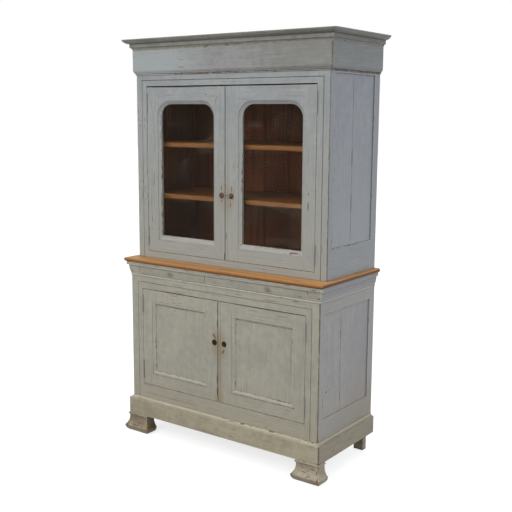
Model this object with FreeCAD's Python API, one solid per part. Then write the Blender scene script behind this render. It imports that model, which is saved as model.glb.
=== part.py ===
import FreeCAD, Part
import math
import os

# Two-part buffet: a glazed cupboard standing on a panelled base with a wooden counter.
# Millimetres, +Z up, +Y towards the wall. The origin is on the floor, in the middle of the
# rectangle that the buffet fills in plan.

# Driving sizes of the base
foot_height = 102.0
base_width = 1216.0
base_depth = 532.0
base_bottom_rail = 182.0
base_door_opening = 540.0
drawer_rail = 77.0
drawer_opening = 65.0
base_post_width = 78.0
counter_thickness = 22.0
counter_proud = 30.0

# Driving sizes of the cupboard on top
upper_set_in = 3.0
upper_set_back = 60.0
upper_bottom_rail = 36.0
upper_door_opening = 884.0
upper_top_rail = 219.0
upper_post_width = 70.0
cornice_board_thickness = 23.0
cornice_proud = 55.0

# Timber sizes shared by both parts
post_depth = 40.0
frame_thickness = 24.0
rear_stile = 53.0
back_thickness = 16.0
board_thickness = 20.0
panel_thickness = 10.0
panel_set_back = 5.0
panel_tongue = 8.0
plank_shrinkage = 1.4
tenon_thickness = 8.0
tenon_length = 30.0
tenon_shoulder = 14.0
groove_width = 4.5
groove_depth = 3.0
overrun = 30.0
sliding_clearance = 0.3
same_place = 0.01
quarter_share = 0.25
third_share = 1 / 3
two_thirds_share = 2 / 3
half_right_angle = math.pi / 4
diagonal_share = math.sin(half_right_angle)

# Doors
door_thickness = 24.0
door_gap = 2.0
upper_door_top_gap = 6.0
base_door_top_gap = 3.0
middle_x = 5.0
meeting_bead = 16.0
meeting_quirk = 3.0
bead_crown = 2.5
lock_spacing = 31.0

# Derived places
base_half = base_width / 2
upper_half = base_half - upper_set_in
foot_lip_proud = 38.0
back_y = (base_depth + foot_lip_proud) / 2
base_front = back_y - base_depth
upper_front = base_front + upper_set_back
base_rail_top = foot_height + base_bottom_rail
base_door_head = base_rail_top + base_door_opening
drawer_floor = base_door_head + drawer_rail
base_top = drawer_floor + drawer_opening
counter_z = base_top + counter_thickness
upper_rail_top = counter_z + upper_bottom_rail
upper_door_head = upper_rail_top + upper_door_opening
upper_top = upper_door_head + upper_top_rail
base_opening_half = base_half - base_post_width
upper_opening_half = upper_half - upper_post_width
right_edge_x = middle_x - (meeting_bead + meeting_quirk) / 2
left_edge_x = right_edge_x - door_gap
overall_height = upper_top + cornice_board_thickness

os.makedirs("parts", exist_ok=True)


# Building blocks

def vec(x, y, z):
    return FreeCAD.Vector(x, y, z)


upwards = vec(0, 0, 1)
inwards = vec(0, 1, 0)
sideways = vec(1, 0, 0)


def box(x0, x1, y0, y1, z0, z1):
    return Part.makeBox(x1 - x0, y1 - y0, z1 - z0, vec(x0, y0, z0))


def cylinder(radius, height, foot, direction):
    return Part.makeCylinder(radius, height, foot, direction)


def wire_through(place, steps):
    """A closed outline. A step is a point, or a pair of points for an arc: its middle and its end."""
    edges = []
    here = steps[0]
    for step in steps[1:] + [steps[0]]:
        if isinstance(step[0], tuple):
            middle, end = step
            edges.append(Part.Arc(place(*here), place(*middle), place(*end)).toShape())
        else:
            end = step
            if place(*here).isEqual(place(*end), same_place):
                continue
            edges.append(Part.makeLine(place(*here), place(*end)))
        here = end
    return Part.Wire(edges)


def upright(start, end):
    """An arc step from start to end that stands upright at its end."""
    rise = start[1] - end[1]
    centre = (end[0] ** 2 - start[0] ** 2 - rise ** 2) / (end[0] - start[0]) / 2
    return arc_about(centre, end[1], start, end), end


def upright_from(start, end):
    """An arc step from start to end that stands upright at its start."""
    return upright(end, start)[0], end


def arc_about(centre_x, centre_z, start, end):
    """The middle of the arc from start to end about a centre."""
    along = (start[0] + end[0]) / 2 - centre_x
    above = (start[1] + end[1]) / 2 - centre_z
    radius = math.hypot(end[0] - centre_x, end[1] - centre_z)
    reach = radius / math.hypot(along, above)
    return centre_x + along * reach, centre_z + above * reach


def along_x(steps, x0, x1):
    """Extrude a (y, z) outline along X."""
    face = Part.Face(wire_through(lambda y, z: vec(x0, y, z), steps))
    return face.extrude(vec(x1 - x0, 0, 0))


def along_y(steps, y0, y1):
    """Extrude an (x, z) outline along Y."""
    face = Part.Face(wire_through(lambda x, z: vec(x, y0, z), steps))
    return face.extrude(vec(0, y1 - y0, 0))


def along_z(steps, z0, z1):
    """Extrude an (x, y) outline along Z."""
    face = Part.Face(wire_through(lambda x, y: vec(x, y, z0), steps))
    return face.extrude(vec(0, 0, z1 - z0))


def mirrored(shape):
    return shape.mirror(vec(0, 0, 0), sideways)


def both_sides(shapes):
    return shapes + [mirrored(shape) for shape in shapes]


def cut_all(shape, tools):
    for tool in tools:
        shape = shape.cut(tool)
    return shape


def fuse_all(shapes):
    result = shapes[0]
    for shape in shapes[1:]:
        result = result.fuse(shape)
    return result.removeSplitter()


nodes = {}


def keep(name, shapes):
    """Write one node, whose shapes are its separate solids."""
    solids = []
    for shape in shapes:
        solids.extend(shape.Solids)
    nodes[name] = Part.makeCompound(solids)
    target = solids[0] if len(solids) == 1 else nodes[name]
    target.exportStep("parts/" + name + ".step")


# Mouldings that go round the front and both sides of a body, mitred at the front corners

def mitred_band(steps, half, front, depth_in, reach):
    """Front piece and two returns of a moulding. An outline point is (how far proud, height)."""
    front_steps = turned(steps, lambda proud, z: (front - proud, z))
    side_steps = turned(steps, lambda proud, z: (half + proud, z))
    low = min(z for _, z in corners(steps)) - overrun
    high = max(z for _, z in corners(steps)) + overrun
    front_plan = [(-half - reach, front - reach), (half + reach, front - reach),
                  (half - depth_in, front + depth_in), (-half + depth_in, front + depth_in)]
    side_plan = [(half + reach, front - reach), (half + reach, back_y),
                 (half - depth_in, back_y), (half - depth_in, front + depth_in)]
    front_bar = along_x(front_steps, -half - reach, half + reach)
    side_bar = along_y(side_steps, front - reach, back_y)
    front_piece = front_bar.common(along_z(front_plan, low, high))
    side_piece = side_bar.common(along_z(side_plan, low, high))
    return front_piece, side_piece


def turned(steps, place):
    """The same outline with every point moved by a rule."""
    result = []
    for step in steps:
        if isinstance(step[0], tuple):
            result.append((place(*step[0]), place(*step[1])))
        else:
            result.append(place(*step))
    return result


def corners(steps):
    result = []
    for step in steps:
        if isinstance(step[0], tuple):
            result.extend(step)
        else:
            result.append(step)
    return result


# Lines struck on the face frames: down both posts and across the head, mitred

def face_grooves(half, set_in, front, z_low, z_line):
    line_x = half - set_in
    wide = groove_width / 2
    head = along_x([(front + groove_depth, z_line), (front, z_line + wide),
                    (front - overrun, z_line + wide), (front - overrun, z_line - wide),
                    (front, z_line - wide)], -line_x - wide, line_x + wide)
    post = along_z([(line_x, front + groove_depth), (line_x + wide, front),
                    (line_x + wide, front - overrun), (line_x - wide, front - overrun),
                    (line_x - wide, front)], z_low, z_line + wide)
    return [head, post, mirrored(post)]


# A side of either part: corner post, rear stile, two rails and a panel of two planks

def build_side(half, front, post_width, z0, z1, panel_z0, panel_z1, plank_line, grooves):
    inner_x = half - frame_thickness
    post = box(half - post_width, half, front, front + post_depth, z0, z1)
    stile_y = back_y - rear_stile
    stile = box(inner_x, half, stile_y, back_y, z0, z1)
    rail_low = box(inner_x, half, front + post_depth, stile_y, z0, panel_z0)
    rail_high = box(inner_x, half, front + post_depth, stile_y, panel_z1, z1)
    tenon_x = inner_x + tenon_thickness
    tenons = []
    for foot, head in ((z0 + tenon_shoulder, panel_z0 - tenon_shoulder),
                       (panel_z1 + tenon_shoulder, z1 - tenon_shoulder)):
        tenons.append(box(tenon_x, tenon_x + tenon_thickness,
                          front + post_depth - tenon_length, front + post_depth, foot, head))
        tenons.append(box(tenon_x, tenon_x + tenon_thickness,
                          stile_y, stile_y + tenon_length, foot, head))
    panel_x1 = half - panel_set_back
    panel_x0 = panel_x1 - panel_thickness
    panel_y0 = front + post_depth - panel_tongue
    panel_y1 = stile_y + panel_tongue
    low = panel_z0 - panel_tongue
    high = panel_z1 + panel_tongue
    split = front + plank_line
    planks = [box(panel_x0, panel_x1, panel_y0, split - plank_shrinkage / 2, low, high),
              box(panel_x0, panel_x1, split + plank_shrinkage / 2, panel_y1, low, high)]
    slot = box(panel_x0, panel_x1, panel_y0, panel_y1, low, high)
    post = cut_all(post, [slot] + tenons + grooves)
    stile = cut_all(stile, [slot] + tenons)
    rail_low = fuse_all([rail_low] + tenons[:2]).cut(slot)
    rail_high = fuse_all([rail_high] + tenons[2:]).cut(slot)
    return [post, stile, rail_low, rail_high], planks


def front_rail(opening_half, front, z0, z1):
    """A face rail with a tenon at each end, and the mortises that its tenons fill."""
    rail = box(-opening_half, opening_half, front, front + frame_thickness, z0, z1)
    tenon_y = front + tenon_thickness
    shoulder = min(tenon_shoulder, (z1 - z0) * quarter_share)
    tenons = []
    for x0, x1 in ((-opening_half - tenon_length, -opening_half),
                   (opening_half, opening_half + tenon_length)):
        tenons.append(box(x0, x1, tenon_y, tenon_y + tenon_thickness, z0 + shoulder, z1 - shoulder))
    return fuse_all([rail] + tenons), tenons


# Base: face frame, sides and panels
base_groove_set_in = 45.5
base_groove_drop = 34.0
base_panel_foot = 208.0
base_panel_head = 134.0
base_plank_line = 205.0
rail_bead_height = 10.0
rail_bead_proud = 4.0

base_grooves = face_grooves(base_half, base_groove_set_in, base_front, foot_height,
                            base_door_head + base_groove_drop)
base_side, base_planks = build_side(base_half, base_front, base_post_width, foot_height, base_top,
                                    foot_height + base_panel_foot, base_top - base_panel_head,
                                    base_plank_line, base_grooves)
drawer_rail_solid, drawer_rail_tenons = front_rail(base_opening_half, base_front,
                                                   base_door_head, drawer_floor)
bottom_rail_solid, bottom_rail_tenons = front_rail(base_opening_half, base_front,
                                                   foot_height, base_rail_top)
base_tenons = drawer_rail_tenons + bottom_rail_tenons
base_left = [mirrored(shape) for shape in base_side]
base_side[0] = cut_all(base_side[0], base_tenons)
base_left[0] = cut_all(base_left[0], base_tenons)
drawer_rail_solid = cut_all(drawer_rail_solid, base_grooves)

# Rear legs and the rail between them carry the floor
rear_leg_width = 54.0
rear_leg_depth = 35.0
rear_rail_height = 120.0
floor_z = base_rail_top - board_thickness
side_inner = base_half - frame_thickness
rear_leg = box(side_inner - rear_leg_width, side_inner, back_y - rear_leg_depth, back_y, 0, floor_z)
rear_rail = box(-side_inner + rear_leg_width, side_inner - rear_leg_width, back_y - rear_leg_depth,
                back_y, floor_z - rear_rail_height, floor_z)

keep("base_side_panels", both_sides(base_planks))
keep("base_rails", [drawer_rail_solid, bottom_rail_solid, rear_rail])
keep("rear_legs", both_sides([rear_leg]))

# Base: floor, shelf and back
shelf_set_back = 62.0
base_shelf_z = 545.0
cleat_height = 22.0
cleat_width = 18.0
plank_count = 7


def boarded_back(half, z0, z1):
    """Boards laid upright, each joint marked by a small groove on both faces."""
    back = box(-half, half, back_y - back_thickness, back_y, z0, z1)
    pitch = half * 2 / plank_count
    wide = groove_width / 2
    for index in range(1, plank_count):
        x = -half + pitch * index
        for face, depth in ((back_y, -groove_depth), (back_y - back_thickness, groove_depth)):
            tip = along_z([(x, face + depth), (x + wide, face), (x - wide, face)], z0, z1)
            back = back.cut(tip)
    return back


base_floor = box(-side_inner, side_inner, base_front + frame_thickness, back_y - back_thickness,
                 floor_z, base_rail_top)
base_floor = cut_all(base_floor, base_side[:1] + base_left[:1])
shelf_front = base_front + shelf_set_back
base_shelf = box(-side_inner, side_inner, shelf_front, back_y - back_thickness,
                 base_shelf_z, base_shelf_z + board_thickness)
base_cleat = box(side_inner - cleat_width, side_inner, shelf_front + cleat_width,
                 back_y - back_thickness, base_shelf_z - cleat_height, base_shelf_z)

keep("base_floor", [base_floor])
keep("base_back", [boarded_back(side_inner, floor_z, base_top)])
keep("base_shelf", [base_shelf] + both_sides([base_cleat]))

# Plinth: a skirt with a hollow worked along its top edge, mitred at the front corners
plinth_height = 103.0
plinth_proud = 18.0
plinth_hollow = 13.0
plinth_lip = 2.0

plinth_top = foot_height + plinth_height
hollow_foot = (plinth_proud, plinth_top - plinth_hollow)
plinth_steps = [(0, foot_height), (plinth_proud, foot_height), hollow_foot,
                upright(hollow_foot, (plinth_lip, plinth_top)), (0, plinth_top)]
plinth_front, plinth_side = mitred_band(plinth_steps, base_half, base_front, 0, plinth_proud)
keep("plinth", [plinth_front] + both_sides([plinth_side]))

# Front feet: one outline, flared at the foot, worked on the front and both flanks of a block that
# is sawn flat at the back
foot_core_width = 93.0
foot_block_depth = 40.0
foot_top_proud = 23.5
foot_waist_proud = 18.0
foot_ring = 12.0
foot_lip_height = 30.0
foot_toe_proud = 22.0


def foot_flank(core):
    """Half of the foot's outline: how far it stands from the middle at each height."""
    reach = core / 2
    ring_mid = foot_height - foot_ring / 2
    ring_low = foot_height - foot_ring
    waist_z = ring_low - foot_ring
    lip_z = foot_lip_height
    toe = (reach + foot_toe_proud, 0)
    lip = (reach + foot_lip_proud, lip_z)
    waist = (reach + foot_waist_proud, waist_z)
    return [toe,
            upright(toe, lip),
            upright(lip, waist),
            (reach + foot_waist_proud, ring_low),
            ((reach + foot_top_proud, ring_mid), (reach + foot_waist_proud, foot_height))]


def foot_outline(core):
    """The whole outline: up the flank, across the top and down its mirror image."""
    right = foot_flank(core)
    flipped = turned(right, lambda along, z: (-along, z))
    is_arc = [isinstance(step[0], tuple) for step in flipped]
    ends = [step[-1] if arc else step for step, arc in zip(flipped, is_arc)]
    left = [ends[-1]]
    for index in range(len(ends) - 1, 0, -1):
        end = ends[index - 1]
        left.append((flipped[index][0], end) if is_arc[index] else end)
    return right + left


foot_x = base_half - foot_core_width / 2
foot_reach = foot_core_width + foot_lip_proud
foot_back = base_front + foot_block_depth
foot_section = foot_flank(0) + [(-foot_block_depth, foot_height), (-foot_block_depth, 0)]
foot_wide = along_y(turned(foot_outline(foot_core_width), lambda x, z: (foot_x + x, z)),
                    base_front - foot_reach, foot_back)
foot_deep = along_x(turned(foot_section, lambda proud, z: (base_front - proud, z)),
                    foot_x - foot_reach, foot_x + foot_reach)
front_foot = foot_wide.common(foot_deep)
keep("front_foot_right", [front_foot])
keep("front_foot_left", [mirrored(front_foot)])

# Moulded band under the counter. It is the face of both drawers, the block between them and the
# ends, and it returns along the sides. A bead runs below it.
band_fillet = 17.0
band_fillet_proud = 20.0
band_top_proud = 11.0
band_foot_proud = 3.0
band_lift = 2.0
band_block = 174.0
band_end = 63.0
drawer_face_gap = 1.0

band_foot = drawer_floor + band_lift
band_head = base_top - sliding_clearance
band_break = band_head - band_fillet
band_steps = [(0, band_foot), (band_foot_proud, band_foot),
              upright((band_foot_proud, band_foot), (band_top_proud, band_break)),
              (band_fillet_proud, band_break), (band_fillet_proud, band_head), (0, band_head)]
band_front, band_side = mitred_band(band_steps, base_half, base_front, 0, band_fillet_proud)
bead_steps = [(0, drawer_floor - rail_bead_height), (rail_bead_proud / 2, drawer_floor - rail_bead_height),
              ((rail_bead_proud, drawer_floor - rail_bead_height / 2), (rail_bead_proud / 2, drawer_floor)),
              (0, drawer_floor)]
bead_front, bead_side = mitred_band(bead_steps, base_half, base_front, 0, rail_bead_proud)

block_x0 = middle_x - band_block / 2
block_x1 = middle_x + band_block / 2
end_x = base_half - band_end
band_low = band_foot - overrun
band_high = base_top + overrun
band_front_y = base_front - band_fillet_proud - overrun


def band_piece(x0, x1):
    return band_front.common(box(x0, x1, band_front_y, base_front, band_low, band_high))


band_ends = [band_piece(end_x, base_half + overrun), band_piece(-base_half - overrun, -end_x)]
keep("band_moulding", [band_piece(block_x0, block_x1)] + band_ends + both_sides([band_side]))
keep("band_bead", [bead_front] + both_sides([bead_side]))

# Drawers: a moulded front that laps the face frame, and a box behind it
drawer_side_gap = 3.0
drawer_back_gap = 48.0
drawer_inner_front = 18.0
drawer_side_height = 58.0
drawer_board = 12.0
drawer_bottom = 7.0
drawer_bottom_lift = 6.0
drawer_bottom_tongue = 5.0
muntin_lap = 5.0
runner_height = 18.0
runner_ledge = 20.0
guide_height = 20.0

muntin_x0 = block_x0 - muntin_lap
muntin_x1 = block_x1 + muntin_lap
box_front = base_front + drawer_inner_front
box_back = back_y - back_thickness - drawer_back_gap
drawer_z0 = drawer_floor + sliding_clearance
drawer_z1 = drawer_z0 + drawer_side_height


def build_drawer(face_x0, face_x1, box_x0, box_x1):
    """Front, two sides, back and bottom of one drawer."""
    face = band_piece(face_x0 + drawer_face_gap, face_x1 - drawer_face_gap)
    face.translate(vec(0, -sliding_clearance, 0))
    face_back = base_front - sliding_clearance
    inner = box(box_x0, box_x1, face_back, box_front, drawer_z0, drawer_z1)
    front = fuse_all([face, inner])
    sides = [box(box_x0, box_x0 + drawer_board, box_front, box_back, drawer_z0, drawer_z1),
             box(box_x1 - drawer_board, box_x1, box_front, box_back, drawer_z0, drawer_z1)]
    bottom_z = drawer_z0 + drawer_bottom_lift
    inside_x0 = box_x0 + drawer_board
    inside_x1 = box_x1 - drawer_board
    back = box(inside_x0, inside_x1, box_back - drawer_board, box_back,
               bottom_z + drawer_bottom, drawer_z1)
    bottom = box(inside_x0 - drawer_bottom_tongue, inside_x1 + drawer_bottom_tongue,
                 box_front - drawer_bottom_tongue, box_back, bottom_z, bottom_z + drawer_bottom)
    sides = [side.cut(bottom) for side in sides]
    return front.cut(bottom), sides + [back, bottom]


right_box_x0 = muntin_x1 + drawer_side_gap
right_box_x1 = base_opening_half - drawer_side_gap
left_box_x0 = -right_box_x1
left_box_x1 = muntin_x0 - drawer_side_gap
drawer_right_front, drawer_right_box = build_drawer(block_x1, end_x, right_box_x0, right_box_x1)
drawer_left_front, drawer_left_box = build_drawer(-end_x, block_x0, left_box_x0, left_box_x1)
keep("drawer_right_front", [drawer_right_front])
keep("drawer_right_box", drawer_right_box)
keep("drawer_left_front", [drawer_left_front])
keep("drawer_left_box", drawer_left_box)

# Runners with side guides, and the upright between the drawers
runner_y0 = base_front + frame_thickness
runner_y1 = back_y - back_thickness


def runner(x0, x1, guide_x0, guide_x1):
    z0 = drawer_floor - runner_height
    ledge = [(x0, z0), (x1, z0), (x1, drawer_floor), (guide_x1, drawer_floor),
             (guide_x1, drawer_floor + guide_height), (guide_x0, drawer_floor + guide_height),
             (guide_x0, drawer_floor), (x0, drawer_floor)]
    return along_y(ledge, runner_y0, runner_y1)


guide_half = base_opening_half - drawer_side_gap + sliding_clearance
runner_outer = box(guide_half, side_inner, runner_y0, runner_y1,
                   drawer_floor - runner_height, drawer_floor + guide_height)
runner_outer = fuse_all([runner_outer, box(guide_half - runner_ledge, guide_half, runner_y0,
                                           runner_y1, drawer_floor - runner_height, drawer_floor)])
runner_right = runner_outer.cut(base_side[0])
runner_left = mirrored(runner_outer).cut(base_left[0])
guide_x0 = muntin_x0 - drawer_side_gap + sliding_clearance
guide_x1 = muntin_x1 + drawer_side_gap - sliding_clearance
runner_middle = runner(guide_x0 - runner_ledge, guide_x1 + runner_ledge, guide_x0, guide_x1)
muntin = box(muntin_x0, muntin_x1, base_front, base_front + frame_thickness, drawer_floor, base_top)
keep("drawer_runners", [runner_right, runner_left, runner_middle, muntin])

# Counter: a board with a thumb-moulded edge at the front and both ends
nosing_flat = 8.0
nosing_drop = 9.0
nosing_under = 14.0

nosing_z = counter_z - nosing_drop
counter_half = base_half + counter_proud
counter_front = base_front - counter_proud


def nosed(reach, sign):
    """The counter's edge, from its top round to its underside."""
    top = (reach - sign * nosing_flat, counter_z)
    nose = (reach, nosing_z)
    return [top, upright(top, nose), upright_from(nose, (reach - sign * nosing_under, base_top))]


left_nose = (-counter_half, nosing_z)
left_top = (-counter_half + nosing_flat, counter_z)
left_foot = (-counter_half + nosing_under, base_top)
counter_across = along_y(nosed(counter_half, 1) + [left_foot, upright(left_foot, left_nose),
                                                   upright_from(left_nose, left_top)],
                         counter_front, back_y)
counter_along = along_x(nosed(counter_front, -1) + [(back_y, base_top), (back_y, counter_z)],
                        -counter_half, counter_half)
counter = counter_across.common(counter_along)

# A square peg at each end of the counter keeps the cupboard in its place
peg_width = 12.0
peg_down = 14.0
peg_up = 14.0
peg_x = upper_half - frame_thickness / 2
peg_y = (upper_front + back_y) / 2


def peg_bar(width, z0, z1):
    return box(peg_x - width / 2, peg_x + width / 2, peg_y - width / 2, peg_y + width / 2, z0, z1)


peg = peg_bar(peg_width, counter_z - peg_down, counter_z + peg_up)
peg_hole = peg_bar(peg_width + sliding_clearance * 2, counter_z, counter_z + peg_up + sliding_clearance)
pegs = both_sides([peg])
counter = cut_all(counter, pegs)
keep("counter_top", [counter])
keep("locating_pegs", pegs)

# Cupboard: face frame, sides and panels
upper_groove_set_in = 36.5
upper_groove_lift = 29.5
upper_panel_foot = 151.0
upper_panel_head = 172.0
upper_plank_line = 219.0

upper_grooves = face_grooves(upper_half, upper_groove_set_in, upper_front, counter_z,
                             upper_door_head + upper_groove_lift)
upper_side, upper_planks = build_side(upper_half, upper_front, upper_post_width, counter_z, upper_top,
                                      counter_z + upper_panel_foot, upper_top - upper_panel_head,
                                      upper_plank_line, upper_grooves)
head_rail_solid, head_rail_tenons = front_rail(upper_opening_half, upper_front,
                                               upper_door_head, upper_top)
sill_rail_solid, sill_rail_tenons = front_rail(upper_opening_half, upper_front,
                                               counter_z, upper_rail_top)
upper_tenons = head_rail_tenons + sill_rail_tenons
upper_side[2] = upper_side[2].cut(peg_hole)
upper_left = [mirrored(shape) for shape in upper_side]
upper_side[0] = cut_all(upper_side[0], upper_tenons)
upper_left[0] = cut_all(upper_left[0], upper_tenons)
head_rail_solid = cut_all(head_rail_solid, upper_grooves)
keep("upper_side_panels", both_sides(upper_planks))
keep("upper_rails", [head_rail_solid, sill_rail_solid])

# Cupboard: floor, ceiling, back, shelves and cleats
upper_shelf_thickness = 26.0
upper_shelf_set_back = 48.0
upper_shelf_rise = 290.0
upper_shelf_spacing = 276.0
shelf_nosing = 9.0

upper_inner = upper_half - frame_thickness
upper_boards = []
for z in (upper_rail_top - board_thickness, upper_top - board_thickness):
    board = box(-upper_inner, upper_inner, upper_front + frame_thickness, back_y - back_thickness,
                z, z + board_thickness)
    upper_boards.append(cut_all(board, upper_side[:1] + upper_left[:1]))
keep("upper_boards", upper_boards)
keep("upper_back", [boarded_back(upper_inner, counter_z, upper_top)])

upper_shelf_front = upper_front + upper_shelf_set_back
upper_shelves = []
upper_cleats = []
first_shelf_z = upper_rail_top + upper_shelf_rise
for z in (first_shelf_z, first_shelf_z + upper_shelf_spacing):
    top = z + upper_shelf_thickness
    lip = shelf_nosing * (1 - diagonal_share)
    steps = [(upper_shelf_front + shelf_nosing, z), (back_y - back_thickness, z),
             (back_y - back_thickness, top), (upper_shelf_front + shelf_nosing, top),
             ((upper_shelf_front + lip, top - lip), (upper_shelf_front, top - shelf_nosing)),
             (upper_shelf_front, z + shelf_nosing),
             ((upper_shelf_front + lip, z + lip), (upper_shelf_front + shelf_nosing, z))]
    upper_shelves.append(along_x(steps, -upper_inner, upper_inner))
    upper_cleats.append(box(upper_inner - cleat_width, upper_inner, upper_shelf_front + cleat_width,
                            back_y - back_thickness, z - cleat_height, z))
keep("upper_shelves", upper_shelves + both_sides(upper_cleats))

# Frieze: a tall board that curves in at its foot over a small fillet and bead
frieze_proud = 14.0
frieze_foot = 56.0
frieze_curve = 16.0
frieze_fillet_proud = 7.0
frieze_fillet = 3.0
frieze_bead = 8.0
frieze_bead_proud = 4.0

frieze_z0 = upper_door_head + frieze_foot
frieze_bead_top = frieze_z0 + frieze_bead
frieze_fillet_top = frieze_bead_top + frieze_fillet
frieze_bead_end = (frieze_bead_proud / 2, frieze_bead_top)
frieze_steps = [(0, frieze_z0), (frieze_bead_proud / 2, frieze_z0),
                ((frieze_bead_proud, frieze_z0 + frieze_bead / 2), frieze_bead_end),
                (frieze_fillet_proud, frieze_bead_top), (frieze_fillet_proud, frieze_fillet_top),
                upright((frieze_fillet_proud, frieze_fillet_top),
                        (frieze_proud, frieze_fillet_top + frieze_curve)),
                (frieze_proud, upper_top), (0, upper_top)]
frieze_front, frieze_side = mitred_band(frieze_steps, upper_half, upper_front, 0, frieze_proud)
keep("frieze", [frieze_front] + both_sides([frieze_side]))

# Cornice: a fillet over a small cove, under a projecting board with a moulded edge
cornice_fillet = 18.0
cornice_fillet_proud = 26.0
cornice_cove = 17.0
cornice_edge = 4.0
cornice_under_proud = 29.0

cove_top = upper_top - cornice_fillet
cornice_steps = [(frieze_proud, cove_top - cornice_cove),
                 upright_from((frieze_proud, cove_top - cornice_cove), (cornice_fillet_proud, cove_top)),
                 (cornice_fillet_proud, upper_top), (frieze_proud, upper_top)]
cornice_front, cornice_side = mitred_band(cornice_steps, upper_half, upper_front, 0,
                                          cornice_fillet_proud)
keep("cornice_moulding", [cornice_front] + both_sides([cornice_side]))

edge_z = overall_height - cornice_edge
edge_drop = edge_z - upper_top
edge_run = cornice_proud - cornice_under_proud
cornice_half = upper_half + cornice_proud
cornice_front_y = upper_front - cornice_proud
bow_share = 0.62
bow_out = edge_run * (1 - bow_share)
bow_z = upper_top + edge_drop * (1 - bow_share)
board_across = along_y([(cornice_half, overall_height), (cornice_half, edge_z),
                        ((cornice_half - bow_out, bow_z), (cornice_half - edge_run, upper_top)),
                        (-cornice_half + edge_run, upper_top),
                        ((-cornice_half + bow_out, bow_z), (-cornice_half, edge_z)),
                        (-cornice_half, overall_height)], cornice_front_y, back_y)
board_along = along_x([(cornice_front_y, overall_height), (cornice_front_y, edge_z),
                       ((cornice_front_y + bow_out, bow_z), (cornice_front_y + edge_run, upper_top)),
                       (back_y, upper_top), (back_y, overall_height)], -cornice_half, cornice_half)
keep("cornice_board", [board_across.common(board_along)])

# Hinges: two to a door. The frame leaf carries the lower knuckle and the pin, the door leaf the
# upper knuckle that turns on it. The knuckles are hammered to flats round a round pin
knuckle_radius = 3.5
knuckle_flats = 8
knuckle_length = 50.0
knuckle_gap = 0.3
knuckle_stand_off = 0.3
leaf_thickness = 1.8
leaf_clearance = 0.1
leaf_reach = 18.0
pin_radius = 1.5
pin_fit = 0.05
pin_length = 38.0
pin_end_gap = 1.0
hinge_set_in = 82.0


def hinge_half(axis_x, axis_y, foot, leaf_x, leaf_back):
    """A knuckle, the leaf behind it, and the plain leaf that its pocket is cut for."""
    turn = math.tau / knuckle_flats
    angles = [turn / 2 + turn * index for index in range(knuckle_flats)]
    rim = [(axis_x + knuckle_radius * math.cos(angle), axis_y + knuckle_radius * math.sin(angle))
           for angle in angles]
    knuckle = along_z(rim, foot, foot + knuckle_length)
    leaf = box(leaf_x, leaf_x + leaf_thickness, axis_y, leaf_back, foot, foot + knuckle_length)
    return fuse_all([leaf, knuckle]), leaf


def build_hinge(opening_half, front, z):
    """One hinge on the right of the opening, its middle at height z."""
    axis_x = opening_half - door_gap / 2
    axis_y = front - knuckle_radius - knuckle_stand_off
    door_foot = z + knuckle_gap / 2
    frame_head = z - knuckle_gap / 2
    leaf_back = front + leaf_reach
    frame_part, frame_leaf = hinge_half(axis_x, axis_y, frame_head - knuckle_length,
                                        axis_x + leaf_clearance, leaf_back)
    door_part, door_leaf = hinge_half(axis_x, axis_y, door_foot,
                                      axis_x - leaf_clearance - leaf_thickness, leaf_back)
    pin = cylinder(pin_radius, pin_length, vec(axis_x, axis_y, frame_head), upwards)
    bore = cylinder(pin_radius + pin_fit, pin_length + pin_end_gap,
                    vec(axis_x, axis_y, frame_head), upwards)
    return {"frame": fuse_all([frame_part, pin]), "door": door_part.cut(bore),
            "frame_pocket": frame_leaf, "door_pocket": door_leaf}


base_door_z0 = base_rail_top + door_gap
base_door_z1 = base_door_head - base_door_top_gap
upper_door_z0 = upper_rail_top + door_gap
upper_door_z1 = upper_door_head - upper_door_top_gap
base_hinges = [build_hinge(base_opening_half, base_front, z)
               for z in (base_door_z0 + hinge_set_in, base_door_z1 - hinge_set_in)]
upper_hinges = [build_hinge(upper_opening_half, upper_front, z)
                for z in (upper_door_z0 + hinge_set_in, upper_door_z1 - hinge_set_in)]
for name, hinges in (("base", base_hinges), ("upper", upper_hinges)):
    keep(name + "_hinge_leaves_and_pins", both_sides([hinge["frame"] for hinge in hinges]))

for side, hinges in ((base_side, base_hinges), (upper_side, upper_hinges)):
    side[0] = cut_all(side[0], [hinge["frame_pocket"] for hinge in hinges])
for side, hinges in ((base_left, base_hinges), (upper_left, upper_hinges)):
    side[0] = cut_all(side[0], [mirrored(hinge["frame_pocket"]) for hinge in hinges])
keep("base_side_right", base_side)
keep("base_side_left", base_left)
keep("upper_side_right", upper_side)
keep("upper_side_left", upper_left)

# Locks, bolts and escutcheons
escutcheon_radius = 15.0
escutcheon_thickness = 1.6
upper_lock_height = 331.0
base_lock_height = 315.0
key_shank_radius = 3.0
key_play = 0.5
key_bit_width = 3.0
key_bit_reach = 10.0
key_bit_length = 5.0
key_length = 30.0
key_bow_radius = 12.0
key_bow_hole = 9.0
key_bow_thickness = 3.0
key_rest_angle = 45.0
keyhole_width = 4.5
lock_width = 58.0
lock_height = 60.0
lock_depth = 13.0
lock_wall = 1.5
lock_edge = 2.5
lock_bolt_height = 12.0
lock_bolt_thickness = 6.0
lock_bolt_rise = 5.0
lock_bolt_set_back = 0.5
lock_bolt_tail = 6.0
lock_notch_width = 6.6
lock_notch_height = 6.5
keeper_width = 16.0
keeper_gap = 1.0
keeper_wall = 3.0
keeper_clearance = 1.0
lock_throw = 11.0

lock_x = middle_x + lock_spacing
upper_lock_z = upper_door_z0 + upper_lock_height
base_lock_z = base_door_z0 + base_lock_height


def keyhole(front, z, depth):
    """The hole for the key: round for its shank, with a slot below for its bit."""
    hole = cylinder(key_shank_radius + key_play, depth, vec(lock_x, front, z), inwards)
    slot = box(lock_x - keyhole_width / 2, lock_x + keyhole_width / 2, front, front + depth,
               z - key_bit_reach - key_play, z)
    return fuse_all([hole, slot])


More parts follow.
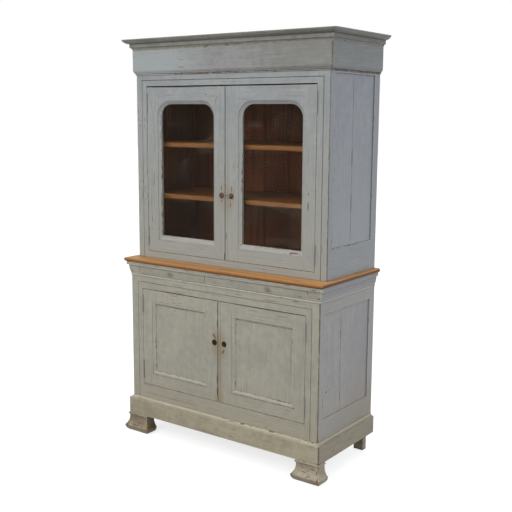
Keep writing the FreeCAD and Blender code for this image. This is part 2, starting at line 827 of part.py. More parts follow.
def build_lock(front, z):
    """Case, bolt and the keeper on the other door, all on the back of the doors."""
    back = front + door_thickness
    case_x0 = right_edge_x + lock_edge
    case = box(case_x0, case_x0 + lock_width, back, back + lock_depth, z - lock_height / 2,
               z + lock_height / 2)
    cavity = box(case_x0 + lock_wall, case_x0 + lock_width - lock_wall, back + lock_wall,
                 back + lock_depth - lock_wall, z - lock_height / 2 + lock_wall,
                 z + lock_height / 2 - lock_wall)
    bolt_y0 = back + (lock_depth - lock_bolt_thickness) / 2
    bolt_y1 = bolt_y0 + lock_bolt_thickness
    bolt_z0 = z + lock_bolt_rise
    bolt_z1 = bolt_z0 + lock_bolt_height
    bolt = box(right_edge_x + lock_bolt_set_back, case_x0 + lock_width - lock_wall - lock_bolt_tail,
               bolt_y0, bolt_y1, bolt_z0, bolt_z1)
    notch_x = lock_x + lock_throw / 2
    notch = box(notch_x - lock_notch_width / 2, notch_x + lock_notch_width / 2, bolt_y0, bolt_y1,
                bolt_z0, bolt_z0 + lock_notch_height)
    bolt = bolt.cut(notch)
    slot = box(case_x0 - overrun, case_x0 + lock_wall, bolt_y0 - sliding_clearance,
               bolt_y1 + sliding_clearance, bolt_z0 - sliding_clearance, bolt_z1 + sliding_clearance)
    case = cut_all(case, [cavity, slot, keyhole(back - lock_wall, z, lock_wall * 2)])
    keeper_x1 = left_edge_x - keeper_gap
    keeper = box(keeper_x1 - keeper_width, keeper_x1, back, bolt_y1 + keeper_clearance + keeper_wall,
                 bolt_z0 - keeper_clearance - keeper_wall, bolt_z1 + keeper_clearance + keeper_wall)
    mouth = box(keeper_x1 - keeper_width, keeper_x1, back, bolt_y1 + keeper_clearance,
                bolt_z0 - keeper_clearance, bolt_z1 + keeper_clearance)
    return case, bolt, keeper.cut(mouth)


def build_key(front, z):
    """Shank, bit and bow of the key, turned to where it stands in the photograph."""
    back = front + door_thickness
    bit_y1 = back + lock_depth - lock_wall * 2
    tip_y = front - key_length
    shank = cylinder(key_shank_radius, bit_y1 - tip_y, vec(lock_x, tip_y, z), inwards)
    bit = box(lock_x - key_bit_width / 2, lock_x + key_bit_width / 2, bit_y1 - key_bit_length, bit_y1,
              z, z + key_bit_reach)
    bow_y = tip_y - key_bow_hole
    bow = cylinder(key_bow_radius, key_bow_thickness,
                   vec(lock_x - key_bow_thickness / 2, bow_y, z), sideways)
    eye = cylinder(key_bow_hole, key_bow_thickness,
                   vec(lock_x - key_bow_thickness / 2, bow_y, z), sideways)
    key = fuse_all([shank, bit, bow.cut(eye)])
    key.rotate(vec(lock_x, 0, z), inwards, key_rest_angle)
    return key


def escutcheon(x, front, z, hole):
    disc = cylinder(escutcheon_radius, escutcheon_thickness, vec(x, front - escutcheon_thickness, z),
                    inwards)
    if hole:
        disc = disc.cut(keyhole(front - escutcheon_thickness, z, escutcheon_thickness))
    return disc


upper_lock_case, upper_lock_bolt, upper_keeper = build_lock(upper_front, upper_lock_z)
base_lock_case, base_lock_bolt, base_keeper = build_lock(base_front, base_lock_z)
keep("upper_lock_case", [upper_lock_case])
keep("upper_lock_bolt", [upper_lock_bolt])
keep("base_lock_case", [base_lock_case])
keep("base_lock_bolt", [base_lock_bolt])
keep("upper_key", [build_key(upper_front, upper_lock_z)])
upper_plates = [escutcheon(lock_x, upper_front, upper_lock_z, True),
                escutcheon(middle_x - lock_spacing, upper_front, upper_lock_z, False)]
base_plates = [escutcheon(lock_x, base_front, base_lock_z, True),
               escutcheon(middle_x - lock_spacing, base_front, base_lock_z, False)]
keep("upper_escutcheon_right", upper_plates[:1])
keep("base_escutcheon_right", base_plates[:1])

# Slide bolts that hold the left doors shut, behind the rail above them
slide_bolt_width = 9.0
slide_bolt_thickness = 5.0
slide_bolt_length = 110.0
slide_bolt_throw = 22.0
slide_bolt_stand_off = 1.0
slide_tab_width = 8.0
slide_tab_length = 9.0
staple_width = 18.0
staple_height = 10.0
staple_wall = 2.5
slide_bolt_inset = 26.0
slide_bolt_head_gap = 2.0

slide_x = left_edge_x - slide_bolt_inset


def build_slide_bolt(front, z_top):
    """A flat bolt with a finger tab, in two staples on the back of the left door."""
    back = front + door_thickness
    y0 = back + slide_bolt_stand_off
    y1 = y0 + slide_bolt_thickness
    head = z_top - slide_bolt_head_gap
    foot = head - slide_bolt_length
    bolt = box(slide_x - slide_bolt_width / 2, slide_x + slide_bolt_width / 2, y0, y1, foot, head)
    tab_z = (foot + head) / 2
    tab = box(slide_x - slide_tab_width / 2, slide_x + slide_tab_width / 2, y1, y1 + slide_tab_length,
              tab_z - slide_tab_width / 2, tab_z + slide_tab_width / 2)
    staples = []
    for z in (foot + slide_bolt_throw - staple_height, head - slide_bolt_throw):
        low = z - staple_height / 2
        high = z + staple_height / 2
        staple = box(slide_x - staple_width / 2, slide_x + staple_width / 2, back,
                     y1 + sliding_clearance + staple_wall, low, high)
        channel = box(slide_x - slide_bolt_width / 2 - sliding_clearance,
                      slide_x + slide_bolt_width / 2 + sliding_clearance,
                      y0 - sliding_clearance, y1 + sliding_clearance, low, high)
        staples.append(staple.cut(channel))
    return fuse_all([bolt, tab]), staples


base_slide_bolt, base_staples = build_slide_bolt(base_front, base_door_z1)
upper_slide_bolt, upper_staples = build_slide_bolt(upper_front, upper_door_z1)
keep("base_slide_bolt", [base_slide_bolt])
keep("upper_slide_bolt", [upper_slide_bolt])

# Hinge leaves of the doors; on the left doors also the staples, the keeper and a blind escutcheon
for name, hinges in (("base", base_hinges), ("upper", upper_hinges)):
    leaves = [hinge["door"] for hinge in hinges]
    keep(name + "_door_right_leaves", leaves)
    keep(name + "_door_left_leaves", [mirrored(leaf) for leaf in leaves])
keep("base_door_left_ironwork", base_staples + [base_keeper] + base_plates[1:])
keep("upper_door_left_ironwork", upper_staples + [upper_keeper] + upper_plates[1:])

# Doors: the members of the glazed doors meet on a mitre at the foot, those of the panelled doors
# are tenoned. The meeting stile of each right door carries a bead along its edge

def meeting_stile(front, x_inner, z0, z1):
    """Plan outline of the right door's meeting stile, with its bead and quirk."""
    back = front + door_thickness
    bead_end = right_edge_x + meeting_bead
    steps = [(right_edge_x, back), (right_edge_x, front + bead_crown),
             ((right_edge_x + meeting_bead / 2, front), (bead_end, front + bead_crown)),
             (bead_end + meeting_quirk / 2, front + meeting_quirk), (bead_end + meeting_quirk, front),
             (x_inner, front), (x_inner, back)]
    return along_z(steps, z0, z1)


def door_members(front, x0, x1, z0, z1, sight, rail_z, bead, mitred):
    """Stiles and rails round a sight opening (xa, xb, za). The top rail starts at rail_z."""
    xa, xb, za = sight
    back = front + door_thickness
    shoulder_z = za if mitred else z0
    left = along_y([(x0, z0), (xa, shoulder_z), (xa, z1), (x0, z1)], front, back)
    if bead:
        left = left.common(meeting_stile(front, xa, z0, z1))
    right = along_y([(x1, z0), (x1, z1), (xb, z1), (xb, shoulder_z)], front, back)
    top = box(xa, xb, front, back, rail_z, z1)
    if not mitred:
        return left, right, box(xa, xb, front, back, z0, za), top
    bottom = along_y([(x0, z0), (x1, z0), (xb, za), (xa, za)], front, back)
    if bead:
        edge_cut = box(x0 - overrun, x0 + meeting_bead + meeting_quirk, front - overrun, back, z0, za)
        trimmed = bottom.common(edge_cut).common(meeting_stile(front, xa, z0, z1))
        bottom = fuse_all([bottom.cut(edge_cut), trimmed])
    return left, right, bottom, top


def door_tenons(front, xa, xb, z0, z1):
    y0 = front + tenon_thickness
    y1 = y0 + tenon_thickness
    return [box(xa - tenon_length, xa, y0, y1, z0, z1), box(xb, xb + tenon_length, y0, y1, z0, z1)]


# Glazed doors: the light has a round corner at each side of its head. Its pane is a plain
# rectangle, let in behind and held by a frame of flat beads
light_inner_set = 73.5
light_outer_set = 71.5
light_foot_rail = 65.0
light_head_rail = 70.0
light_arc = 86.0
light_moulding = 18.0
light_sill = 25.0
light_step = 2.0
light_recess = 12.0
glass_thickness = 3.0
glass_rebate = 8.0
glass_clearance = 0.5
rail_tenon_margin = 10.0


def light_wire(xa, xb, za, zb, radius, y):
    """The outline of a light at depth y: square at the foot, round at the head."""
    diagonal = radius * (1 - diagonal_share)
    steps = [(xa, za), (xb, za), (xb, zb - radius), ((xb - diagonal, zb - diagonal), (xb - radius, zb)),
             (xa + radius, zb), ((xa + diagonal, zb - diagonal), (xa, zb - radius))]
    return wire_through(lambda x, z: vec(x, y, z), steps)


def light_prism(outline, y0, y1):
    return Part.Face(light_wire(*outline, y0)).extrude(vec(0, y1 - y0, 0))


def plate_behind(sight, margin, y0, y1):
    """A rectangle as wide and high as the light, and a margin more on every side."""
    xa, xb, za, zb, _ = sight
    return box(xa - margin, xb + margin, y0, y1, za - margin, zb + margin)


def spans(opening_half, inner_set, outer_set):
    """Where a light or panel starts and ends on the left and the right door."""
    outer = opening_half - outer_set
    return ((middle_x - outer, middle_x - inner_set), (middle_x + inner_set, middle_x + outer))


def glazed_door(x0, x1, span, bead):
    front = upper_front
    back = front + door_thickness
    z0 = upper_door_z0
    z1 = upper_door_z1
    xa, xb = span
    za = z0 + light_foot_rail
    zb = z1 - light_head_rail
    line = (xa, xb, za, zb, light_arc)
    lip = (xa + light_step, xb - light_step, za + light_step, zb - light_step, light_arc - light_step)
    sight = (xa + light_moulding, xb - light_moulding, za + light_sill, zb - light_moulding,
             light_arc - light_moulding)
    left, right, bottom, top = door_members(front, x0, x1, z0, z1, sight[:3], zb - light_arc,
                                            bead, True)
    tenons = door_tenons(front, sight[0], sight[1], zb + rail_tenon_margin, z1 - tenon_shoulder)
    top = fuse_all([top] + tenons)
    left = cut_all(left, tenons)
    right = cut_all(right, tenons)
    step = light_prism(line, front, front + light_step)
    slope = Part.makeLoft([light_wire(*lip, front + light_step), light_wire(*sight, front + light_recess)],
                          True, True)
    through = light_prism(sight, front + light_recess, back)
    pocket = plate_behind(sight, glass_rebate, front + light_recess, back)
    tools = [step, slope, through, pocket]
    frame = [cut_all(member, tools) for member in (left, right, bottom, top)]
    glass_y1 = front + light_recess + glass_thickness
    glass = plate_behind(sight, glass_rebate - glass_clearance, front + light_recess, glass_y1)
    bead_outer = plate_behind(sight, glass_rebate - sliding_clearance, glass_y1, back)
    bead_ring = bead_outer.cut(plate_behind(sight, 0, glass_y1, back))
    return frame, glass, bead_ring


upper_edge = upper_opening_half - door_gap
left_light, right_light = spans(upper_opening_half, light_inner_set, light_outer_set)
left_frame, left_glass, left_bead = glazed_door(-upper_edge, left_edge_x, left_light, False)
right_frame, right_glass, right_bead = glazed_door(right_edge_x, upper_edge, right_light, True)
left_frame[0] = cut_all(left_frame[0], [mirrored(hinge["door_pocket"]) for hinge in upper_hinges])
right_frame[1] = cut_all(right_frame[1], [hinge["door_pocket"] for hinge in upper_hinges])
right_frame[0] = right_frame[0].cut(keyhole(upper_front, upper_lock_z, door_thickness))
keep("upper_door_left_frame", left_frame)
keep("upper_door_left_glass", [left_glass])
keep("upper_door_left_bead", [left_bead])
keep("upper_door_right_frame", right_frame)
keep("upper_door_right_glass", [right_glass])
keep("upper_door_right_bead", [right_bead])

# Panelled doors: a flat panel behind a planted moulding
panel_inner_set = 81.0
panel_outer_set = 65.0
panel_foot_rail = 63.0
panel_head_rail = 60.0
door_panel_depth = 9.0
door_panel_thickness = 8.0
strip_width = 20.0
strip_nose = 5.0
strip_quirk = 3.5
strip_toe = 2.0


def strip_steps():
    """Section of the planted moulding: (in from its outer edge, down from the door's face)."""
    toe = door_panel_depth - strip_toe
    return [(0, door_panel_depth), (0, strip_quirk),
            upright_from((0, strip_quirk), (strip_nose, 0)),
            ((strip_width * two_thirds_share, toe * third_share), (strip_width - strip_toe, toe)),
            (strip_width, toe), (strip_width, door_panel_depth)]


def planted_moulding(front, xa, xb, za, zb):
    """Four strips, mitred at the corners of the opening."""
    reach = strip_width
    y0 = front - overrun
    y1 = front + overrun
    foot = along_x(turned(strip_steps(), lambda w, d: (front + d, za + w)), xa, xb)
    head = along_x(turned(strip_steps(), lambda w, d: (front + d, zb - w)), xa, xb)
    left = along_z(turned(strip_steps(), lambda w, d: (xa + w, front + d)), za, zb)
    right = along_z(turned(strip_steps(), lambda w, d: (xb - w, front + d)), za, zb)
    foot_plan = [(xa, za), (xb, za), (xb - reach, za + reach), (xa + reach, za + reach)]
    head_plan = [(xa, zb), (xb, zb), (xb - reach, zb - reach), (xa + reach, zb - reach)]
    left_plan = [(xa, za), (xa + reach, za + reach), (xa + reach, zb - reach), (xa, zb)]
    right_plan = [(xb, za), (xb - reach, za + reach), (xb - reach, zb - reach), (xb, zb)]
    pairs = ((foot, foot_plan), (head, head_plan), (left, left_plan), (right, right_plan))
    return [strip.common(along_y(plan, y0, y1)) for strip, plan in pairs]


def panelled_door(x0, x1, span, bead):
    front = base_front
    z0 = base_door_z0
    z1 = base_door_z1
    xa, xb = span
    za = z0 + panel_foot_rail
    zb = z1 - panel_head_rail
    left, right, bottom, top = door_members(front, x0, x1, z0, z1, (xa, xb, za), zb, bead, False)
    head_tenons = door_tenons(front, xa, xb, zb + tenon_shoulder, z1 - tenon_shoulder)
    foot_tenons = door_tenons(front, xa, xb, z0 + tenon_shoulder, za - tenon_shoulder)
    top = fuse_all([top] + head_tenons)
    bottom = fuse_all([bottom] + foot_tenons)
    left = cut_all(left, head_tenons + foot_tenons)
    right = cut_all(right, head_tenons + foot_tenons)
    panel = box(xa - panel_tongue, xb + panel_tongue, front + door_panel_depth,
                front + door_panel_depth + door_panel_thickness, za - panel_tongue, zb + panel_tongue)
    frame = [member.cut(panel) for member in (left, right, bottom, top)]
    return frame, panel, planted_moulding(front, xa, xb, za, zb)


base_edge = base_opening_half - door_gap
left_span, right_span = spans(base_opening_half, panel_inner_set, panel_outer_set)
left_frame, left_panel, left_strips = panelled_door(-base_edge, left_edge_x, left_span, False)
right_frame, right_panel, right_strips = panelled_door(right_edge_x, base_edge, right_span, True)
left_frame[0] = cut_all(left_frame[0], [mirrored(hinge["door_pocket"]) for hinge in base_hinges])
right_frame[1] = cut_all(right_frame[1], [hinge["door_pocket"] for hinge in base_hinges])
right_frame[0] = right_frame[0].cut(keyhole(base_front, base_lock_z, door_thickness))
keep("base_door_left_frame", left_frame)
keep("base_door_left_panel", [left_panel])
keep("base_door_left_moulding", left_strips)
keep("base_door_right_frame", right_frame)
keep("base_door_right_panel", [right_panel])
keep("base_door_right_moulding", right_strips)

# Sizes and places for whoever fits or hinges this part
whole = Part.makeCompound(list(nodes.values()))
bounds = whole.BoundBox
print("nodes", len(nodes), "solids", len(whole.Solids))
print("size", round(bounds.XLength, 2), round(bounds.YLength, 2), round(bounds.ZLength, 2))
print("corner", round(bounds.XMin, 2), round(bounds.YMin, 2), round(bounds.ZMin, 2))
for name, half, front in (("base", base_opening_half, base_front),
                          ("upper", upper_opening_half, upper_front)):
    print(name, "hinge axis x", half - door_gap / 2, "y", front - knuckle_radius - knuckle_stand_off)
print("upper key axis", lock_x, upper_lock_z)
print("all valid", all(shape.isValid() for shape in nodes.values()))
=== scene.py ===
# %% [markdown]
# # A painted two-part buffet
#
# The real object is an old country buffet in pine. A low cupboard with two panelled doors and
# two thin drawers carries a glazed cupboard with two shelves. All of it is painted in a worn
# blue-grey, apart from the waxed counter between the two parts. The joiner's work comes ready made
# as the frame. Here it gets its paint, wood, glass and iron, and the smith's small metalwork.

import math
from types import SimpleNamespace

import bmesh
import bpy
from mathutils import Matrix, Vector


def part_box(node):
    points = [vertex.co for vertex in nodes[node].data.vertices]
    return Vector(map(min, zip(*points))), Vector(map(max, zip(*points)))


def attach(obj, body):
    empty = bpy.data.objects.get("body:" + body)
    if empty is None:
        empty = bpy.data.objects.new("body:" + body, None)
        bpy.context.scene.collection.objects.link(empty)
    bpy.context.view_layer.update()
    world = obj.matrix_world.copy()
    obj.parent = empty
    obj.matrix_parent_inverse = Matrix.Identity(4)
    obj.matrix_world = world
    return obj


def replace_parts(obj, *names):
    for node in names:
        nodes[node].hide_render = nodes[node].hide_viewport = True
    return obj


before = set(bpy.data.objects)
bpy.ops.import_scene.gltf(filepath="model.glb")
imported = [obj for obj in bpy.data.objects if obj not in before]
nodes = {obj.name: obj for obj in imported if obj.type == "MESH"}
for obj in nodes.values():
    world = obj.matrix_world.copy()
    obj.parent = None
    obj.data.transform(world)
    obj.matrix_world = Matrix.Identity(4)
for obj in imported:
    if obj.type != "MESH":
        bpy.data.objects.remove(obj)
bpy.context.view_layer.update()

# %% [markdown]
# ## Writing a finish as a sum
#
# A finish in Blender is a network of nodes. Drawn by hand it soon becomes hard to read, so the
# network is written as ordinary sums here. A `Field` is anything that varies over a surface, and
# adding or multiplying two of them adds the Math node that does it.


# %% Fields
class Field:
    """A number that varies over a surface. Sums with it add Math nodes."""

    def __init__(self, finish, socket):
        self.finish = finish
        self.socket = socket

    def math(self, operation, *values):
        return self.finish.node("ShaderNodeMath", {"operation": operation}, dict(enumerate(values)))

    def __add__(self, other):
        return self.math("ADD", self, other)

    def __sub__(self, other):
        return self.math("SUBTRACT", self, other)

    def __rsub__(self, other):
        return self.math("SUBTRACT", other, self)

    def __mul__(self, other):
        return self.math("MULTIPLY", self, other)

    def __truediv__(self, other):
        return self.math("DIVIDE", self, other)

    def __abs__(self):
        return self.math("ABSOLUTE", self)

    __radd__ = __add__
    __rmul__ = __mul__

    def over(self, edge):
        """1 where the field is more than the edge, else 0."""
        return self.math("GREATER_THAN", self, edge)

    def larger(self, other):
        return self.math("MAXIMUM", self, other)

    def smaller(self, other):
        return self.math("MINIMUM", self, other)

    def power(self, exponent):
        return self.math("POWER", self, exponent)

    def whole(self):
        return self.math("FLOOR", self)

    def rest(self):
        """What is left of the field after its whole part."""
        return self.math("FRACT", self)

    def between(self, low, high):
        """Rises from 0 at low to 1 at high, with soft ends."""
        settings = {"interpolation_type": "SMOOTHSTEP", "clamp": True}
        return self.finish.node("ShaderNodeMapRange", settings, {0: self, 1: low, 2: high})


print("besides sums, a field has", ", ".join(name for name in vars(Field) if name[0] != "_"))

# %% [markdown]
# ## One finish, one material
#
# A `Finish` holds one material and its tree of nodes. Its `node` method makes any node from a
# type, its settings and what goes into its sockets. The other methods are short names for the
# nodes that are used most, such as a blend of two colours, a cloudy noise and a bump.


# %% Finishes
class Finish:
    """One material, or the world, written as sums of fields."""

    def __init__(self, name, stock="materials", surface="Principled BSDF", coordinates="Object"):
        self.material = getattr(bpy.data, stock).new(name)
        self.material.use_nodes = True
        self.tree = self.material.node_tree
        self.surface = self.tree.nodes[surface]
        self.place = self.node("ShaderNodeTexCoord", outlet=coordinates)
        self.x, self.y, self.z = self.parts(self.place)

    def node(self, kind, settings=None, inlets=None, outlet=0):
        """Any node: its type, its settings, the values or links of its sockets, and its result."""
        made = self.tree.nodes.new(kind)
        for setting, value in (settings or {}).items():
            setattr(made, setting, value)
        self.fill(made, inlets or {})
        return Field(self, made.outputs[outlet])

    def fill(self, made, inlets):
        for socket, value in inlets.items():
            if isinstance(value, Field):
                self.tree.links.new(value.socket, made.inputs[socket])
            else:
                made.inputs[socket].default_value = value

    def surface_is(self, **inlets):
        """Sets the shader's own sockets, with underscores for the spaces in their names."""
        self.fill(self.surface, {name.replace("_", " "): value for name, value in inlets.items()})

    def parts(self, vector):
        split = self.tree.nodes.new("ShaderNodeSeparateXYZ")
        self.tree.links.new(vector.socket, split.inputs[0])
        return [Field(self, outlet) for outlet in split.outputs]

    def vector(self, x=0.0, y=0.0, z=0.0):
        return self.node("ShaderNodeCombineXYZ", None, {0: x, 1: y, 2: z})

    def times(self, vector, factors):
        return self.node("ShaderNodeVectorMath", {"operation": "MULTIPLY"}, {0: vector, 1: factors})

    def plus(self, vector, other):
        return self.node("ShaderNodeVectorMath", {"operation": "ADD"}, {0: vector, 1: other})

    def blend(self, share, first, second):
        """A colour that goes from the first to the second as the share goes from 0 to 1."""
        settings = {"data_type": "RGBA", "clamp_factor": True}
        return self.node("ShaderNodeMix", settings, {0: share, 6: first, 7: second}, 2)

    def noise(self, vector, scale, detail=3.0, roughness=0.5, distortion=0.0):
        """Cloudy values round 0.5."""
        inlets = {"Vector": vector, "Scale": scale, "Detail": detail, "Roughness": roughness,
                  "Distortion": distortion}
        return self.node("ShaderNodeTexNoise", {"normalize": True}, inlets)

    def bump(self, height, distance, strength):
        inlets = {"Height": height, "Distance": distance, "Strength": strength}
        return self.node("ShaderNodeBump", None, inlets)

    def replace_output(self, shader):
        """Lets another shader, often a mix with the usual one, be what the surface shows."""
        self.tree.links.new(shader.socket, self.tree.nodes["Material Output"].inputs["Surface"])


print("a finish has", ", ".join(name for name in vars(Finish) if name[0] != "_"))

# %% [markdown]
# ## Colours as the eye sees them
#
# Colours are written as they look on a screen, from 0 to 255, because the eye picks them so. The
# shader works in linear light, where a mid grey is only a fifth as bright as white, so each colour
# is turned into linear values first. A finish then grows by tints, laid one over the other.


# %% Colours
def shade(red, green, blue):
    """A colour given as it looks on a screen, as the linear values the shader wants."""
    linear = []
    for value in (red, green, blue):
        share = value / 255
        linear.append(share / 12.92 if share <= 0.04045 else ((share + 0.055) / 1.055) ** 2.4)
    return (*linear, 1.0)


def tinted(colour, share, tint):
    """The colour with a share of a tint laid over it."""
    return colour.finish.blend(share, colour, shade(*tint))


print("a mid grey of 128 is", round(shade(128, 128, 128)[0], 3), "in linear light")

# %% [markdown]
# ## Places taken from the frame
#
# A pattern that turns at a mitre or stops at an inner face has to know where these are. Typed in,
# they would be wrong as soon as the frame changed, so they are read from the boxes of its parts.
# Along a mitre, a point's distance from the middle and its depth add up to one number, which is
# all that a pattern needs to find it.

# %% Places
upper_half, upper_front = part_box("upper_side_right")[1].x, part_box("upper_side_right")[0].y
base_half, base_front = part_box("base_side_right")[1].x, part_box("base_side_right")[0].y
upper_mitre, base_mitre = upper_half + upper_front, base_half + base_front


def both(pattern):
    """The names of a left node and its right twin, from one name with a star for the side."""
    return [pattern.replace("*", side) for side in ("left", "right")]


def inner_face(node):
    """How deep a board's inner face lies."""
    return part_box(node)[1].y


def span(node, axis, below=0.0, above=None):
    """Where a node begins and ends along an axis, each end moved outwards by so much."""
    low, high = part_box(node)
    return getattr(low, axis) - below, getattr(high, axis) + (below if above is None else above)


print("mitres:", round(upper_mitre, 3), "above and", round(base_mitre, 3), "below")

# %% [markdown]
# ## Which way the grain runs
#
# Wood is strong along its grain, so a joiner runs it down a stile and along a rail, and brush
# marks follow it. A finish is told the direction by three shares, one for each axis. Where one
# node holds stiles and rails, a share is 1 inside the rails' place and 0 elsewhere, so one finish
# does both. On a moulding that turns a corner, the share changes at the mitre.

# %% Grain directions
UPRIGHT = (0.0, 0.0, 1.0)
ACROSS = (1.0, 0.0, 0.0)
panel_tongue = 0.008


def stiles_and_rails(spans, opening, axis="x"):
    """Grain that runs up the stiles, and along the rails between them."""

    def direction(finish):
        position = finish.x if axis == "x" else finish.y
        rail = 0.0
        for low, high in spans:
            rail = position.over(low) * (1 - position.over(high)) + rail
        bottom, top = opening
        rail = rail * (1 - finish.z.over(bottom) * (1 - finish.z.over(top)))
        return finish.vector(rail, 0.0, 1 - rail) if axis == "x" else finish.vector(0.0, rail, 1 - rail)

    return direction


def round_the_panels(node):
    """The grain of a side: rails above and below its panels, and stiles beside them."""
    widths, heights = (span(node, axis, -panel_tongue) for axis in "yz")
    return stiles_and_rails([widths], heights, "y")


def beyond_mitre(finish, mitre):
    """1 on the side faces, past the mitre of the front corner, else 0."""
    return (abs(finish.x) + finish.y).over(mitre)


def round_the_corner(mitre):
    """Grain along the front, and along the side beyond the mitre."""

    def direction(finish):
        side = beyond_mitre(finish, mitre)
        return finish.vector(1 - side, side, 0.0)

    return direction


print("grain runs upright, across or round a corner")

# %% [markdown]
# ## Old paint
#
# The buffet was painted by hand, at least twice, and then rubbed back and waxed. Up close that
# gives five layers: a cloudy grey that differs from place to place, fine brush marks along the
# grain, bare brown wood where hands and knocks have worn the edges, dark dirt with painted shade
# in the corners and gaps, and a few long hair cracks where the wood has moved. Painted highlights
# on the edges and a painted shade on the side faces come on top.
#
# Painting a picture onto each board would be one way. A rule is better here, because the wear
# then lands on the real edges. First come the patterns that the rules use: noises, most of them
# fine across the grain and coarse along it.


# %% The patterns in the paint
def along_grain(finish, direction, fine, coarse):
    """The place on the surface, drawn out along the grain."""
    if isinstance(direction, tuple):
        return finish.times(finish.place, tuple(fine + (coarse - fine) * share for share in direction))
    factors = finish.plus(finish.times(direction, (coarse - fine,) * 3), (fine,) * 3)
    return finish.times(finish.place, factors)


def paint_patterns(finish, direction):
    """All the noises that old paint is made from."""

    def drawn_out(fine, coarse, detail, roughness, distortion=0.0):
        place = along_grain(finish, direction, fine, coarse)
        return finish.noise(place, 1.0, detail, roughness, distortion)

    return SimpleNamespace(
        brush=drawn_out(260.0, 6.0, 2.0, 0.6),
        grain=drawn_out(70.0, 2.2, 4.0, 0.68),
        chips=drawn_out(210.0, 38.0, 3.0, 0.7),
        scratch=drawn_out(190.0, 9.0, 2.0, 0.55),
        hair=drawn_out(30.0, 0.55, 2.0, 0.5, 0.3),
        clouds=finish.noise(finish.place, 2.4, 3.0, 0.6),
        mottle=finish.noise(finish.place, 24.0, 4.0, 0.65))


print("paint is made from seven noises, five of them along the grain")

# %% [markdown]
# ## Knocks, stains and painted shadows in their own places
#
# Some wear isn't chance: fingers have rubbed the paint round the locks, and a board has shrunk
# and left a seam. These few are placed one by one, as ovals. The distance from an oval's middle,
# divided by its size, is 1 on its rim. A knock has a ragged rim, from a fine noise that is added
# to that distance, and a stain fades out softly.


# %% Knocks and stains
def oval(finish, level, middle, z, half_width, half_height):
    """0 in the middle of an oval and 1 on its rim. The level is the x or y that it is drawn on."""
    across = (level - middle) / half_width
    along = (finish.z - z) / half_height
    return (across * across + along * along).power(0.5)


def knocked(finish, level, places):
    """1 inside a few ragged ovals, each a (level, z, half width, half height), else 0."""
    ragged = finish.noise(finish.place, 170.0, 3.0, 0.7) - 0.5
    found = 0.0
    for place in places:
        inside = 1 - (oval(finish, level, *place) + ragged * 1.5).between(0.75, 1.05)
        found = inside.larger(found)
    return found


def stained_and_shaded(finish, level, colour, places):
    """The colour with stains and painted shadows, each a (level, z, half width, half height, share,
    tint).
    """
    for *place, share, tint in places:
        # Each oval lays a soft tint; some are real stains and some are painted shadows.
        inside = 1 - oval(finish, level, *place).between(0.2, 1.2)
        colour = tinted(colour, inside * share, tint)
    return colour


print("a knock has a ragged rim and a stain has a soft one")

# %% [markdown]
# ## The coat of paint
#
# No old paint has one colour. Two close shades are blended by a slow cloud, a finer mottle and the
# grain. Low down the paint has yellowed, and the side faces get a painted side shade, bluer on some
# parts and darker on others, so both get a tint.
# Then come pale brush marks, and dark lines where the grain shows.

# %% The coat
pale_brush, undercoat = (196, 194, 184), (84, 64, 46)


def coat(finish, seen, light, dark, aged, ends):
    """Two close shades in clouds. Aged is a (low, high, tint), ends a painted side shade (mitre, share,
    tint).
    """
    tone = seen.clouds * 0.4 + seen.mottle * 0.4 + seen.grain * 0.2
    colour = finish.blend(tone.between(0.38, 0.62), shade(*dark), shade(*light))
    if aged:
        low, high, tint = aged
        yellowed = (1 - finish.z.between(low, high)) * (0.6 + 0.5 * seen.mottle)
        colour = tinted(colour, yellowed, tint)
    if ends:
        # Painted side shade: the faces past the mitre get a tint that stands in for the shade on the
        # side.
        mitre, share, tint = ends
        colour = tinted(colour, beyond_mitre(finish, mitre) * share, tint)
    return colour


def brushed(seen, colour):
    """The same colour with brush marks, open grain and a few scratches."""
    colour = tinted(colour, seen.brush.between(0.5, 0.8) * 0.24, pale_brush)
    colour = tinted(colour, (1 - seen.grain.between(0.26, 0.42)) * 0.3, undercoat)
    scratches = seen.scratch.between(0.665, 0.71) * seen.clouds.between(0.4, 0.6) * 0.5
    return tinted(colour, scratches, undercoat)


print("the brown below the paint is", [round(value, 3) for value in shade(*undercoat)[:3]])

# %% [markdown]
# ## Rubbed through
#
# Paint goes first on the edges, and the Ambient Occlusion node finds them: it sends short rays
# into the wood, and only near an edge do they get out again. This closeness, some noise and the
# part's own wear are added up, and past a limit the brown wood shows. The limit is sharp, since
# paint is either there or gone. A corner that hands have gripped for years gets a higher sum.

# %% Wear
edge_reach = 0.006
caught_light, brown_mark = (200, 196, 180), (98, 64, 36)


def closeness(finish, distance, inside):
    """How near the surface is to an edge, seen from inside it, or to a corner, from outside."""
    settings = {"samples": 6, "inside": inside, "only_local": inside}
    return 1 - finish.node("ShaderNodeAmbientOcclusion", settings, {"Distance": distance}, "AO")


def rubbed(finish, seen, edge, wear, handled):
    """1 where the paint is worn through. Handled is a (low x, high x, share, depth)."""
    rubbing = edge * 1.3 + seen.chips * 1.25 + seen.clouds * 0.9 + wear * 0.3
    if handled:
        low, high, share, depth = handled
        rubbing = rubbing + finish.x.between(low, high) * (1 - finish.y.over(depth)) * share
    flaked = (seen.chips + seen.grain * 0.5 + seen.clouds * 0.55 + wear * 0.1).between(1.285, 1.335)
    return rubbing.between(1.9, 2.0).larger(flaked * 0.85)


print("edges are felt", edge_reach * 1000, "mm away")

# %% [markdown]
# ## Dirt, painted shade and cracks
#
# Dirt stays at the bottom of a groove, where shade falls too, so the corners get a painted brown
# of dirt and shade, and the gaps round the doors a darker painted shadow. The same node finds
# corners when its rays go outwards. The hair cracks are where a long, slow noise passes through its
# middle value: that gives thin lines along the grain.

# %% Dirt
corner_reach = 0.007
crack_brown, dirt_and_shade_brown, gap_shadow_brown = (70, 60, 50), (72, 60, 44), (34, 26, 18)
old_wood_dark, old_wood_light = (80, 48, 28), (128, 80, 46)


def cracked(seen):
    """1 along a few hair cracks, else 0."""
    return (1 - abs(seen.hair - 0.5).between(0.0, 0.005)) * seen.clouds.between(0.57, 0.63)


